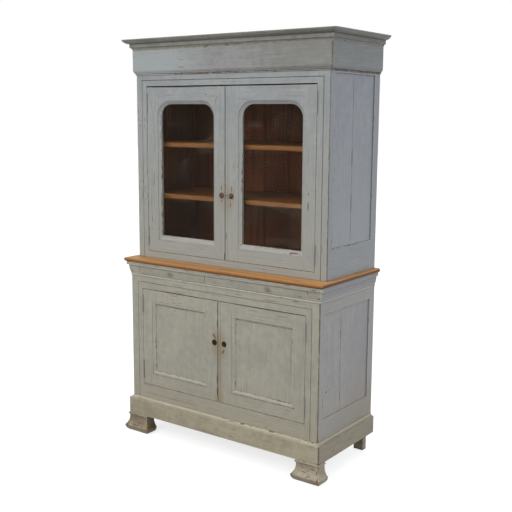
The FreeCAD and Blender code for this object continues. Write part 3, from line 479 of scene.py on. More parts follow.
def dirtied_and_shaded(finish, colour, dirt_and_shade, gap_shadow):
    """The colour with dirt and painted shade near its corners, and painted shadow in its gaps."""
    corner = closeness(finish, corner_reach, False)
    # Painted shade: corners get a brown of dirt and shade, and gaps a dark painted shadow.
    colour = tinted(colour, corner.between(0.15, 0.55) * dirt_and_shade, dirt_and_shade_brown)
    return tinted(colour, corner.between(0.5, 0.9) * gap_shadow, gap_shadow_brown)


print("corners are felt", corner_reach * 1000, "mm away")

# %% [markdown]
# ## One recipe for all painted parts
#
# Each painted part gets a finish of its own from one function, because the parts differ in their
# shade, grain, wear and marks, but not in how paint grows old. Bare wood shows on the faces that
# nobody painted, such as the inside of a carcass.


# %% Old paint
def old_paint(name, light, dark, direction, wear=0.5, dirt_and_shade=0.55, gap_shadow=0.85, reach=edge_reach, rim=0.12,
              aged=None, ends=None, handled=None, marks=(), stains_and_shadows=(), side=False, bare=None):
    """Worn paint with painted highlights and shade. Marks, stains, shadows count from x, or y on a side.
    """
    finish = Finish(name)
    direction = direction if isinstance(direction, tuple) else direction(finish)
    level = finish.y if side else finish.x
    seen = paint_patterns(finish, direction)
    colour = coat(finish, seen, light, dark, aged, ends)
    colour = brushed(seen, stained_and_shaded(finish, level, colour, stains_and_shadows))

    edge = closeness(finish, reach, True).smaller(0.5)
    worn = rubbed(finish, seen, edge, wear, handled)
    # Painted highlight: a pale rim on convex edges, as edges that catch the light, in a share set by rim.
    colour = tinted(colour, edge.between(0.08, 0.45) * rim, caught_light)
    colour = tinted(colour, worn * 0.9, undercoat)
    if marks:
        knocks = knocked(finish, level, marks)
        worn = worn.larger(knocks)
        colour = tinted(colour, knocks * 0.9, brown_mark)

    crack = cracked(seen)
    colour = tinted(colour, crack * 0.7, crack_brown)
    colour = dirtied_and_shaded(finish, colour, dirt_and_shade, gap_shadow)
    if bare is not None:
        wood = finish.blend(seen.grain.between(0.25, 0.75), shade(*old_wood_dark), shade(*old_wood_light))
        colour = finish.blend(bare(finish), colour, wood)

    height = seen.brush * 0.25 + seen.grain * 0.35 - worn * 0.9 - crack * 1.2
    finish.surface_is(
        Base_Color=colour,
        Roughness=0.34 + 0.18 * seen.mottle + 0.16 * worn,
        Normal=finish.bump(height, 0.0006, 0.6),
        Specular_IOR_Level=0.35)
    return finish.material


print("old paint is ready to be mixed")

# %% [markdown]
# ## Where the paint stops
#
# A painter stops at the inner face of a door and leaves the inside of a carcass bare. Two small
# functions say so by depth and by distance from the middle. The bare wood starts a hair's breadth
# before the face, so that the whole face has it. A third function puts a finish on parts.

# %% Where the paint stops
skin, side_skin, post_depth = 0.0005, 0.0135, 0.04
dressed = set()


def behind(depth):
    """Bare wood from just before this depth."""
    return lambda finish: finish.y.over(depth - skin)


def indoors(half, front):
    """Bare wood inside a carcass: behind its front posts and between its side skins."""

    def inside(finish):
        deep = finish.y.over(front + post_depth - skin)
        return deep * (1 - abs(finish.x).over(half - side_skin))

    return inside


def dress(names, material):
    """Puts a material on every slot of the named nodes."""
    for name in names:
        dressed.add(name)
        for slot in nodes[name].material_slots:
            slot.material = material
    print(material.name, "is on", ", ".join(names))


inside_upper, inside_base = indoors(upper_half, upper_front), indoors(base_half, base_front)
print("the doors are bare from", round(inner_face("upper_door_left_frame"), 3), "m deep")

# %% [markdown]
# ## The upper carcass
#
# The glazed cupboard is the bluer part, and its side faces get a painted bluer, darker side shade.
# Each side is a frame round two planks, which have shrunk, so a dark seam has opened between them,
# wider in two places. The frame's front corner is worn brown from top to bottom, as hands and
# chairs pass there.

# %% Upper carcass
upper_light, upper_dark, upper_side_shade_tint = (150, 155, 157), (136, 140, 143), (136, 140, 148)
# The side colours here, and the blue tint past the mitre, are painted side shade.
upper_side_light, upper_side_dark = (147, 149, 154), (132, 135, 141)
upper_aged, upper_panel_aged = (1.0, 2.1, (154, 153, 145)), (1.0, 2.0, (152, 154, 158))
upper_seam = [(0.032, *place) for place in (
    (1.86, 0.0018, 0.08), (1.7, 0.0012, 0.07), (1.56, 0.0042, 0.05),
    (1.45, 0.0014, 0.06), (1.34, 0.0042, 0.06), (1.22, 0.002, 0.07))]

dress(["upper_side_panels"], old_paint(
    "upper_paint_upright", upper_side_light, upper_side_dark, UPRIGHT, 0.3, dirt_and_shade=0.25, gap_shadow=0.35,
    aged=upper_panel_aged, marks=upper_seam, side=True, bare=inside_upper))
dress(both("upper_side_*"), old_paint(
    "upper_side_paint", upper_light, upper_dark, round_the_panels("upper_side_panels"), 0.5, gap_shadow=0.6,
    aged=upper_aged, ends=(upper_mitre, 0.6, upper_side_shade_tint),
    handled=(upper_half - 0.017, upper_half - 0.005, 0.5, upper_front + 0.017), bare=inside_upper))
dress(["upper_rails"], old_paint(
    "upper_paint_rail", upper_light, upper_dark, ACROSS, 0.45, aged=upper_aged,
    bare=behind(inner_face("upper_rails"))))

# %% [markdown]
# ## The glazed doors
#
# The doors carry the marks of use: rubbed spots above and below the lock plates, a chipped patch
# low on the right door, and grime round the key. The glass shows where the rails begin and end.
# The gap above the doors is the darkest line here, so a painted shadow darkens their top edges as well.

# %% Glazed doors
grime = (132, 114, 82)
upper_marks = [(-0.028, 1.396, 0.003, 0.012), (-0.028, 1.331, 0.0028, 0.008),
               (0.038, 1.392, 0.0032, 0.018), (0.03, 1.311, 0.003, 0.017),
               (0.494, 1.335, 0.0032, 0.024), (0.4945, 1.395, 0.0028, 0.0065),
               (-0.056, 1.848, 0.0016, 0.011), (-0.063, 1.828, 0.0016, 0.012),
               (-0.13, 1.862, 0.007, 0.0025), (0.415, 1.103, 0.03, 0.0035),
               (0.395, 1.098, 0.01, 0.003), (-0.0075, 1.045, 0.0028, 0.018),
               (0.0035, 1.15, 0.0022, 0.02), (-0.505, 1.2, 0.002, 0.016)]
upper_stains_and_shadows = [(0.005, 1.345, 0.07, 0.11, 0.4, grime),
                # Painted shadow: two dark strips along the doors' top edges, for the gap above them.
                (-0.27, 1.9035, 0.29, 0.006, 1.0, (34, 28, 24)),
                (0.28, 1.903, 0.28, 0.004, 0.9, (52, 44, 38))]
glass_to_stile, glass_to_rail_below, glass_to_rail_above = 0.0105, 0.018, 0.0125
upper_door_rails = [span(node, "x", glass_to_stile) for node in both("upper_door_*_glass")]
upper_light_opening = span("upper_door_left_glass", "z", glass_to_rail_below, glass_to_rail_above)

dress(both("upper_door_*_frame") + both("upper_door_*_bead"), old_paint(
    "upper_door_paint", upper_light, upper_dark,
    stiles_and_rails(upper_door_rails, upper_light_opening), 0.35, aged=upper_aged,
    marks=upper_marks, stains_and_shadows=upper_stains_and_shadows, bare=behind(inner_face("upper_door_left_frame"))))

# %% [markdown]
# ## The frieze and the cornice
#
# The cornice is a dull, darker grey, with a painted darker shade on its side. The frieze below it
# is paler on the left and darker on the right, with a painted bluer shade on its side and one long
# scar along its lower edge. Both are mitred at the corners, so their grain turns with them.

# %% Frieze and cornice
frieze_scar = [(-0.19, 1.9655, 0.045, 0.0035)]
frieze_pale_and_dark = [(-0.52, 2.06, 0.42, 0.3, 0.8, (158, 165, 167)),
                 (0.5, 2.05, 0.4, 0.3, 0.45, (112, 110, 104))]
everywhere = 1.0

# The tints past the mitre on frieze and cornice are painted side shade.
dress(["frieze"], old_paint(
    "frieze_paint", (141, 143, 143), (122, 124, 124), round_the_corner(upper_mitre), 0.45,
    ends=(upper_mitre, 0.35, (128, 136, 146)), marks=frieze_scar, stains_and_shadows=frieze_pale_and_dark,
    handled=(upper_half - 0.005, upper_half + 0.007, 0.2, everywhere)))
dress(["cornice_moulding"], old_paint(
    "cornice_paint", (134, 134, 128), (108, 108, 102), round_the_corner(upper_mitre), 0.2,
    ends=(upper_mitre, 0.4, (84, 82, 78))))
dress(["cornice_board"], old_paint(
    "cornice_top_paint", (128, 128, 121), (104, 105, 100), ACROSS, 0.45))

# %% [markdown]
# ## The lower carcass
#
# The base is the yellower part, and more so near the floor. Its sides get a painted mauve side
# shade, with painted brown shade towards the rear and the bottom. Their panels are two planks
# again, with a broken seam and one chip.

# %% Lower carcass
base_light, base_dark, base_side_shade_tint = (165, 162, 148), (148, 146, 135), (151, 148, 149)
base_dust = dict(aged=(0.0, 0.5, (152, 143, 122)))
base_seam = [(-0.042, *place) for place in (
    (0.755, 0.0016, 0.04), (0.7, 0.003, 0.035), (0.63, 0.0018, 0.04),
    (0.545, 0.0026, 0.035), (0.47, 0.0014, 0.04), (0.39, 0.0024, 0.035))]
base_chip = [(-0.17, 0.44, 0.007, 0.006), (-0.15, 0.446, 0.004, 0.003)]
# Painted shade: soft darker tints on the sides, towards the rear and the bottom.
base_side_shadow = [(0.26, 0.22, 0.46, 0.22, 0.7, (138, 128, 114))]
base_panel_shadow = [(0.26, 0.26, 0.4, 0.4, 0.55, (138, 130, 120)),
                     (0.3, 0.66, 0.3, 0.32, 0.55, (137, 135, 141))]
base_rail_marks = [(0.33, 0.868, 0.05, 0.0014), (0.13, 0.872, 0.035, 0.0012),
                   (-0.28, 0.869, 0.04, 0.0012), (0.47, 0.884, 0.02, 0.0016)]

dress(both("base_side_*"), old_paint(
    "base_side_paint", base_light, base_dark, round_the_panels("base_side_panels"), 0.5,
    dirt_and_shade=0.3, gap_shadow=0.4, ends=(base_mitre, 0.6, base_side_shade_tint), stains_and_shadows=base_side_shadow, side=True,
    handled=(base_half - 0.014, base_half - 0.004, 0.55, base_front + 0.017), bare=inside_base,
    **base_dust))
# The side panels' own mauve shades are a painted side shade.
dress(["base_side_panels"], old_paint(
    "side_panel_paint", (163, 160, 158), (147, 145, 144), UPRIGHT, 0.45, dirt_and_shade=0.25, gap_shadow=0.3,
    marks=base_seam + base_chip, stains_and_shadows=base_panel_shadow, side=True, bare=inside_base, **base_dust))
dress(["base_rails"], old_paint(
    "base_rail_paint", base_light, base_dark, ACROSS, 0.45, marks=base_rail_marks,
    bare=behind(inner_face("base_door_left_frame")), **base_dust))

# %% [markdown]
# ## The panelled doors
#
# Grime has spread along the meeting edges of the lower doors, with chips round both locks, and a
# painted shadow lies along their top edges, under the gap. The panels have the faintest dirt and
# painted corner shade, and the mouldings round them the strongest painted edge highlights, because
# a moulding is all edges.

# %% Panelled doors
base_marks = [(-0.033, 0.642, 0.006, 0.006), (-0.028, 0.635, 0.006, 0.006),
              (-0.022, 0.628, 0.006, 0.006), (0.034, 0.565, 0.005, 0.006),
              (0.028, 0.556, 0.006, 0.007), (-0.008, 0.7, 0.002, 0.025),
              (-0.009, 0.405, 0.0026, 0.03), (-0.008, 0.34, 0.003, 0.025),
              (0.39, 0.798, 0.035, 0.0014), (0.215, 0.803, 0.028, 0.0012),
              (0.44, 0.333, 0.02, 0.0012), (-0.3, 0.807, 0.03, 0.0011)]
base_stains_and_shadows = [(0.004, 0.59, 0.055, 0.1, 0.65, grime), (0.004, 0.3, 0.04, 0.06, 0.5, grime),
               (0.004, 0.42, 0.025, 0.16, 0.4, grime),
               # Painted shadow: dark strips along the doors' top edges, for the gap above them.
               (0.3, 0.8225, 0.3, 0.0055, 1.0, (48, 38, 30)),
               (-0.25, 0.822, 0.28, 0.0035, 0.8, (84, 74, 62))]
moulding_width = 0.011
base_door_rails = [span(node, "x") for node in both("base_door_*_moulding")]

dress(both("base_door_*_frame"), old_paint(
    "base_door_paint", base_light, base_dark,
    stiles_and_rails(base_door_rails, span("base_door_left_moulding", "z")), 0.5, dirt_and_shade=0.45,
    gap_shadow=0.6, marks=base_marks, stains_and_shadows=base_stains_and_shadows,
    bare=behind(inner_face("base_door_left_frame")), **base_dust))
dress(both("base_door_*_panel"), old_paint(
    "base_panel_paint", base_light, base_dark, UPRIGHT, 0.3, dirt_and_shade=0.35, gap_shadow=0.5,
    bare=behind(inner_face("base_door_left_panel")), **base_dust))
dress(both("base_door_*_moulding"), old_paint(
    "panel_moulding_paint", (168, 165, 153), base_dark,
    stiles_and_rails(base_door_rails, span("base_door_left_moulding", "z", -moulding_width)), 0.72,
    dirt_and_shade=0.5, gap_shadow=0.5, rim=0.45, **base_dust))

# %% [markdown]
# ## The band and its drawers
#
# The drawers hide in the moulded band under the counter. Only thin dark seams at their ends give
# them away, and two plugs where pulls once sat: small chips round a dull stain. The band itself is
# nearly unworn, but its long edges and the drawers' get a painted highlight, and its side a painted
# bluer shade. A drawer's front is painted to just past the face of the carcass.

# %% Band and drawers
plug = (112, 102, 82)
drawer_marks = [(-0.328, 0.926, 0.003, 0.0035), (-0.314, 0.918, 0.003, 0.003),
                (0.304, 0.926, 0.003, 0.0035), (0.32, 0.921, 0.003, 0.0035),
                (0.311, 0.914, 0.003, 0.0025), (-0.0842, 0.931, 0.0017, 0.028),
                (0.094, 0.931, 0.0013, 0.022), (0.543, 0.938, 0.0017, 0.012),
                (-0.543, 0.931, 0.0013, 0.024), (-0.41, 0.961, 0.02, 0.0016),
                (-0.2, 0.962, 0.025, 0.0013), (0.22, 0.9615, 0.028, 0.0014),
                (0.43, 0.961, 0.022, 0.0018), (0.5, 0.914, 0.012, 0.0018)]
drawer_stains = [(-0.321, 0.922, 0.028, 0.02, 0.7, plug), (0.312, 0.921, 0.028, 0.02, 0.7, plug)]
band_marks = [(0.585, 0.955, 0.014, 0.0022), (0.606, 0.915, 0.007, 0.004),
              (-0.6, 0.912, 0.008, 0.003), (0.01, 0.961, 0.022, 0.0014)]
drawer_paint_end = base_front + 2 * skin

dress(both("drawer_*_front"), old_paint(
    "drawer_paint", base_light, base_dark, ACROSS, 0.1, rim=0.4, marks=drawer_marks,
    stains_and_shadows=drawer_stains, bare=behind(drawer_paint_end)))
# Painted highlight on the long edges (rim), and a painted bluer side shade past the mitre.
dress(["band_moulding", "band_bead"], old_paint(
    "band_paint", (167, 164, 151), (144, 141, 130), round_the_corner(base_mitre), 0.1, rim=0.4,
    marks=band_marks, ends=(base_mitre, 0.6, (136, 135, 148))))

# %% [markdown]
# ## The plinth and the feet
#
# What stands near the floor is kicked and mopped. The feet have lost most of their paint at the
# bottom, with brown chips along their flared edges, and both get the same chips, mirrored. The
# plinth is worn where its right-hand corner sticks out, and has a painted darker shade on its side.
# Both get painted highlights on their edges.

# %% Plinth and feet
foot_chips = [(0.6, 0.003, 0.04, 0.004), (0.505, 0.004, 0.022, 0.0035),
              (0.63, 0.03, 0.004, 0.014), (0.618, 0.062, 0.003, 0.012),
              (0.56, 0.092, 0.03, 0.002), (0.49, 0.08, 0.003, 0.01),
              (0.545, 0.052, 0.012, 0.002), (0.58, 0.038, 0.014, 0.0018)]
foot_marks = [(sign * x, *rest) for sign in (1, -1) for x, *rest in foot_chips]
foot_stains = [(sign * 0.48, 0.05, 0.016, 0.1, 0.85, (104, 80, 50)) for sign in (1, -1)]

# Painted side shade past the mitre, and painted edge highlights (rim) on plinth and feet.
dress(["plinth"], old_paint(
    "plinth_paint", (166, 158, 136), (141, 133, 112), round_the_corner(base_mitre), 0.1, rim=0.4,
    ends=(base_mitre, 0.55, (116, 104, 86)),
    handled=(base_half + 0.004, base_half + 0.014, 0.22, everywhere)))
dress(both("front_foot_*") + ["rear_legs"], old_paint(
    "foot_paint", (162, 153, 132), (118, 105, 82), ACROSS, 1.0, dirt_and_shade=0.9, rim=0.35,
    aged=(-0.02, 0.035, (136, 112, 70)), marks=foot_marks, stains_and_shadows=foot_stains))

# %% [markdown]
# ## The rings of sawn pine
#
# A plain sawn board shows the tree's rings as long flames. So the pattern is the distance from
# the tree's heart, which lies somewhere below the board, warped a little along its length. Each
# board has its own heart, by a number that comes from the board's count.

# %% Rings
ring_width, board_width = 0.006, 0.19
heart_depth, heart_spread = 0.045, 0.03


def sawn_rings(finish, direction, ring, board):
    """Late wood, fibres, patches and each board's own number. Direction is run, wide and thick."""
    run, wide, thick = direction
    position = {"x": finish.x, "y": finish.y, "z": finish.z}

    def stretched(along, across, scale, detail, roughness):
        factors = tuple(along if axis == run else across for axis in "xyz")
        return finish.noise(finish.times(finish.place, factors), scale, detail, roughness)

    plank = (position[wide] / board).whole()
    luck = finish.node("ShaderNodeTexWhiteNoise", {"noise_dimensions": "1D"}, {"W": plank})
    warp = stretched(1.3, 9.0, 1.0, 3.0, 0.5) - 0.5
    slow = finish.noise(finish.place, 1.1, 2.0, 0.5) - 0.5
    across = position[wide] - plank * board - board * (0.2 + 0.6 * luck) + slow * 0.08
    depth = position[thick] + heart_depth + luck * heart_spread + warp * 0.018
    rings = ((across * across + depth * depth).power(0.5) / ring).rest()
    return SimpleNamespace(
        late_wood=rings.between(0.35, 0.92) * (1 - rings.between(0.95, 1.0)),
        fibre=stretched(6.0, 420.0, 1.0, 2.0, 0.6),
        patches=finish.noise(finish.place, 7.0, 4.0, 0.6),
        luck=luck)


print("rings are", ring_width * 1000, "mm apart, on boards", board_width * 1000, "mm wide")

# %% [markdown]
# ## Waxed and bare pine
#
# The counter was never painted: it is pine that wax and light have turned orange-brown. Inside
# the cupboards the same pine is dull and darker, and the backs have gone grey on the outside. The
# counter's rounded edge has a painted shadow below and on its sides, and a painted sheen along its
# top. The inner corners of all the pine get a painted shade, with some dirt.

# %% Pine
corner_dirt_and_shade_brown, edge_brown = (40, 26, 16), (70, 44, 24)
corner_shade_reach, brown_edge = 0.03, 0.005


def shaded_nosing(finish, colour, nosing):
    """Painted shade below and beside the nose, a painted sheen on top. Nosing is (low, high, mitre,
    shadow, sheen).
    """
    low, high, mitre, shadow, painted_sheen = nosing
    side = beyond_mitre(finish, mitre)
    colour = tinted(colour, (1 - finish.z.between(low, high)) * 0.7, shadow)
    colour = tinted(colour, side * (1 - finish.z.over(high)) * 0.85, shadow)
    return tinted(colour, finish.z.between(high, high + 0.006) * 0.3, painted_sheen)


def pine(name, early, late, direction, ring=ring_width, board=board_width, gloss=0.38, corner_darkening=0.0,
         outdoors=None, nosing=None):
    """Plain sawn pine. Outdoors is a (depth, grey) for the outside of the backs."""
    finish = Finish(name)
    seen = sawn_rings(finish, direction, ring, board)
    colour = finish.blend(seen.late_wood * 0.6 + seen.fibre * 0.25, shade(*early), shade(*late))
    darker = seen.luck * 0.25 + seen.patches.between(0.45, 0.75) * 0.3
    colour = tinted(colour, darker, late)
    if outdoors:
        depth, grey = outdoors
        colour = tinted(colour, finish.y.over(depth) * (0.35 + seen.patches * 0.4), grey)
    if nosing:
        colour = shaded_nosing(finish, colour, nosing)
    # Painted shade with some dirt in inner corners, and rubbed brown on the edges.
    corner = closeness(finish, corner_shade_reach, False).between(0.3, 0.95)
    edge = (closeness(finish, brown_edge, True) * seen.patches * 2.0).between(0.5, 1.1)
    colour = tinted(colour, corner * (0.5 + corner_darkening * 0.4), corner_dirt_and_shade_brown)
    colour = tinted(colour, edge * 0.5, edge_brown)
    finish.surface_is(
        Base_Color=colour,
        Roughness=gloss + 0.12 * seen.fibre + 0.1 * seen.patches,
        Normal=finish.bump(seen.fibre * 0.5 + seen.late_wood * 0.4, 0.0004, 0.5),
        Specular_IOR_Level=0.25)
    return finish.material


print("pine can be waxed, bare or weathered")

# %% [markdown]
# ## The bare parts
#
# The direction of a board is three letters: the axis along it, across it and through it. The
# shelves and the counter run from side to side, the backs stand upright, and a drawer's sides run
# front to back.

# %% Bare parts
counter_low, counter_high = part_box("counter_top")
counter_mitre = counter_high.x + counter_low.y
# The nosing's shadow colour is painted shade and its sheen colour a painted highlight.
counter_nosing = (counter_low.z + 0.002, counter_high.z - 0.005, counter_mitre, (80, 43, 15),
                  (186, 158, 110))
outer_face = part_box("upper_back")[1].y - 2 * skin

dress(["counter_top"], pine(
    "waxed_pine", (176, 120, 62), (122, 72, 32), "xyz", ring=0.0065, nosing=counter_nosing))
dress(["upper_shelves", "base_shelf", "base_floor", "upper_boards"], pine(
    "shelf_pine", (130, 84, 38), (90, 53, 20), "xyz", gloss=0.42, corner_darkening=0.4))
dress(["base_back", "upper_back"], pine(
    "old_board_pine", (112, 60, 30), (74, 38, 17), "zxy", gloss=0.62, corner_darkening=1.0,
    outdoors=(outer_face, (128, 108, 86))))
dress(both("drawer_*_box") + ["drawer_runners", "locating_pegs"], pine(
    "drawer_pine", (150, 112, 76), (110, 78, 50), "yzx", board=0.3, gloss=0.6, corner_darkening=0.8))

# %% [markdown]
# ## Glass
#
# The panes are drawn sheet glass, thin and not quite flat, so their reflections waver, which a
# slow noise does as a bump. Old glass also has a film of dust, so a little of a dull, pale shader
# is mixed in, in wiped streaks of dust that also serve as painted streaky reflections.

# %% Glass
glass = Finish("old_sheet_glass")
waver = glass.noise(glass.times(glass.place, (9.0, 1.0, 5.0)), 1.0, 2.0, 0.4)
seed = glass.noise(glass.place, 60.0, 2.0, 0.5)
glass.surface_is(
    Base_Color=(0.95, 0.95, 0.92, 1.0),
    Roughness=0.02 + 0.03 * seed,
    IOR=1.12,
    Transmission_Weight=1.0,
    Normal=glass.bump(waver, 0.004, 0.25))
dust_and_reflection_streaks = glass.noise(glass.times(glass.place, (5.0, 1.0, 14.0)), 1.0, 3.0, 0.6, 0.8)
pale_streak_shader = glass.node("ShaderNodeBsdfDiffuse", None, {"Color": shade(196, 184, 164)})
clear = Field(glass, glass.surface.outputs[0])
dust_and_reflection_mix = glass.node("ShaderNodeMixShader", None, {0: dust_and_reflection_streaks.between(0.5, 0.72) * 0.03, 1: clear, 2: pale_streak_shader})
glass.replace_output(dust_and_reflection_mix)
dress(both("upper_door_*_glass"), glass.material)

# %% [markdown]
# ## Iron
#
# The ironwork has gone four ways. The upper plates and their lock are brown with age, the lower
# plates and the bolts nearly black, the key is rubbed bright by hands, and the hinges were painted
# with the doors. Rust is rough and dull, so it lowers the share of metal too.

# %% Iron
pitted_black = (24, 18, 14)


def iron(name, bright, rusty, rust, metal, rough, shine=0.5):
    """Wrought iron, rubbed in places and rusty in others."""
    finish = Finish(name)
    bloom = finish.noise(finish.place, 95.0, 4.0, 0.65)
    specks = finish.noise(finish.place, 620.0, 2.0, 0.6)
    rusted = (bloom + specks * 0.35).between(0.95 - rust * 0.5, 1.15 - rust * 0.5)
    corner = closeness(finish, edge_reach, False).between(0.3, 0.95)
    colour = finish.blend(rusted, shade(*bright), shade(*rusty))
    colour = tinted(colour, corner * 0.6, pitted_black)
    finish.surface_is(
        Base_Color=colour,
        Metallic=metal - 0.55 * rusted,
        Roughness=rough + 0.3 * rusted,
        Normal=finish.bump(bloom + specks * 0.4, 0.0004, 0.6),
        Specular_IOR_Level=shine)
    return finish.material


brown_iron = iron("brown_iron", (84, 66, 52), (88, 56, 36), 0.6, 0.6, 0.45)
dark_iron = iron("dark_iron", (40, 28, 14), (58, 36, 18), 0.5, 0.1, 0.6, 0.12)
key_iron = iron("key_iron", (126, 112, 96), (96, 66, 44), 0.35, 0.85, 0.34)
painted_iron = old_paint("painted_iron", (158, 157, 151), (142, 141, 136), UPRIGHT, 0.0, dirt_and_shade=0.2,
                         gap_shadow=0.15, reach=0.001)
dress(["upper_escutcheon_right", "upper_door_left_ironwork", "upper_lock_case"], brown_iron)
dress(["base_escutcheon_right", "base_door_left_ironwork", "base_lock_case", "upper_lock_bolt",
       "base_lock_bolt", "upper_slide_bolt", "base_slide_bolt"], dark_iron)
dress(["upper_key"], key_iron)
dress(["upper_hinge_leaves_and_pins", "base_hinge_leaves_and_pins"], painted_iron)
dress(both("upper_door_*_leaves") + both("base_door_*_leaves"), painted_iron)
print("nodes still without a finish:", sorted(set(nodes) - dressed))

# %% [markdown]
# ## Making a new piece
#
# The metalwork that a hand would notice is modelled here, over the plain solids of the frame.
# Every piece is drawn lying down round the origin, as a smith has it on the bench, and its
# vertices are then set upright in their place.

# %% A new piece
ORIGIN = (0.0, 0.0, 0.0)
ALONG_Y, ALONG_Z = (0.0, 1.0, 0.0), (0.0, 0.0, 1.0)
TO_THE_FRONT = Matrix.Rotation(math.radians(90), 4, "X")
TO_THE_BACK = Matrix.Rotation(math.radians(-90), 4, "X")
smooth_angle, merge_distance = math.radians(40.0), 0.00001


def placed(name, data):
    """A new object in the scene, from a mesh, a light or a camera."""
    made = bpy.data.objects.new(name, data)
    bpy.context.scene.collection.objects.link(made)
    return made


def drawn(name, mesh, material):
    """A new object from a drawn mesh, in one material."""
    data = bpy.data.meshes.new(name)
    mesh.to_mesh(data)
    mesh.free()
    data.materials.append(material)
    return placed(name, data)


def finished_piece(name, mesh, body, material):
    """Turns a drawn mesh into an iron piece of the buffet, with its faces pointing outwards."""
    bmesh.ops.remove_doubles(mesh, verts=mesh.verts, dist=merge_distance)
    bmesh.ops.recalc_face_normals(mesh, faces=mesh.faces)
    made = drawn(name, mesh, material)
    made.data.shade_smooth()
    made.data.set_sharp_from_angle(angle=smooth_angle)
    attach(made, body)
    print(name, "has", len(made.data.polygons), "faces")
    return made


def put(mesh, verts, place, turn=TO_THE_FRONT):
    """Turns the vertices upright and moves them to their place."""
    bmesh.ops.transform(mesh, matrix=Matrix.Translation(place) @ turn, verts=verts)


print("edges sharper than", round(math.degrees(smooth_angle)), "degrees stay sharp")

# %% [markdown]
# ## Keyhole plates
#
# A round plate guards the paint from the key. It was punched from sheet iron, so its rim is
# rounded over and a shallow ring is pressed in near the edge. The keyhole is a small circle
# whose lower points are drawn down into a slot. Bridging it to the rim makes a plate with a real
# hole, which a dark mark on a disc can't match when the light moves.

# %% A keyhole plate
plate_radius, plate_proud, plate_thickness = 0.015, 0.0021, 0.0012
keyhole_radius, keyhole_drop = 0.0036, 0.0085
plate_outline_shares = [(0.84, 0.92), (0.9, 0.62), (0.955, 0.8), (1.0, 0.3), (1.0, 0.0)]


def ring_of(mesh, radius, height, segments=48):
    made = bmesh.ops.create_circle(mesh, segments=segments, radius=radius)["verts"]
    bmesh.ops.translate(mesh, vec=(0.0, 0.0, height), verts=made)
    return made


def loop_of(verts):
    """The edges that lie wholly in one ring."""
    return {edge for vert in verts for edge in vert.link_edges
            if all(end in verts for end in edge.verts)}


def keyhole_plate(mesh, place):
    """A pressed plate with a keyhole, facing the front."""
    hole = ring_of(mesh, keyhole_radius, plate_proud)
    lower = [vert for vert in hole if vert.co.y < -0.6 * keyhole_radius]
    bmesh.ops.translate(mesh, vec=(0.0, -keyhole_drop, 0.0), verts=lower)
    rings = [hole]
    for share, height in plate_outline_shares:
        rings.append(ring_of(mesh, plate_radius * share, plate_proud * height))
    for inner, outer in zip(rings, rings[1:]):
        bmesh.ops.bridge_loops(mesh, edges=list(loop_of(inner) | loop_of(outer)))
    sheet = list(mesh.faces)
    bmesh.ops.recalc_face_normals(mesh, faces=sheet)
    bmesh.ops.solidify(mesh, geom=sheet, thickness=plate_thickness)
    put(mesh, list(mesh.verts), place)


print("a plate is", round(plate_radius * 2000), "mm across")

# %% [markdown]
# ## The four plates
#
# Each pair of doors has a plate on both meeting stiles. The right-hand ones have a lock behind
# them and take the place of the frame's plain discs. The left-hand ones are blind and stand a hair
# further out, over the stile's bead. Two nails hold each plate, and a ball pressed flat is enough
# for a nail's head.

# %% The plates in place
plate_nail_radius, head_height_share = 0.0014, 0.55
nail_up, nail_down = 0.0105, -0.01176
lock_x, blind_x, blind_proud = 0.036, -0.0265, 0.0012
upper_lock_z = sum(span("upper_escutcheon_right", "z")) / 2
base_lock_z = sum(span("base_escutcheon_right", "z")) / 2


def nail_heads(mesh, places, radius, turn):
    """Domed nail heads at the given places."""
    for place in places:
        head = bmesh.ops.create_uvsphere(mesh, u_segments=8, v_segments=6, radius=radius)["verts"]
        bmesh.ops.scale(mesh, vec=(1.0, 1.0, head_height_share), verts=head)
        put(mesh, head, place, turn)


def plate_with_nails(name, x, y, z, body, material):
    mesh = bmesh.new()
    keyhole_plate(mesh, (x, y, z))
    nails = [(x, y - plate_proud * 0.95, z + rise) for rise in (nail_up, nail_down)]
    nail_heads(mesh, nails, plate_nail_radius, TO_THE_FRONT)
    return finished_piece(name, mesh, body, material)


upper_plate = plate_with_nails(
    "upper_right_plate", lock_x, upper_front, upper_lock_z, "upper_door_right", brown_iron)
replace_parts(upper_plate, "upper_escutcheon_right")
base_plate = plate_with_nails(
    "base_right_plate", lock_x, base_front, base_lock_z, "base_door_right", dark_iron)
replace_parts(base_plate, "base_escutcheon_right")
plate_with_nails("upper_blind_plate", blind_x, upper_front - blind_proud, upper_lock_z,
                 "upper_door_left", brown_iron)
plate_with_nails("base_blind_plate", blind_x, base_front - blind_proud, base_lock_z,
                 "base_door_left", dark_iron)

# %% [markdown]
# ## The stem and bit of the key
#
# One old key stays in the upper lock. Its stem swells into two collars in front of the plate, so
# half of that outline is drawn and spun round the stem's middle. The bit is the small flat blade
# at the back end, and a cube does for it.

# %% Stem and bit
stem_profile = [(0.0, 0.0), (0.003, 0.0), (0.003, 0.0225), (0.0046, 0.024), (0.0046, 0.0252),
                (0.0034, 0.0265), (0.0034, 0.03), (0.0052, 0.0325), (0.0052, 0.0345),
                (0.0036, 0.037), (0.003, 0.04), (0.003, 0.054), (0.0, 0.0555)]
stem_length = stem_profile[-1][1]
bit_size, bit_middle = (0.0028, 0.0048, 0.0098), (0.0, -0.003, 0.0049)


def spun(mesh, geometry, axis, steps):
    """A full turn round the origin, closed where it meets itself."""
    bmesh.ops.spin(mesh, geom=geometry, cent=ORIGIN, axis=axis, angle=math.tau, steps=steps,
                   use_merge=True)


def key_stem(mesh):
    points = [mesh.verts.new((radius, -along, 0.0)) for radius, along in stem_profile]
    lines = [mesh.edges.new(pair) for pair in zip(points, points[1:])]
    spun(mesh, points + lines, ALONG_Y, 28)


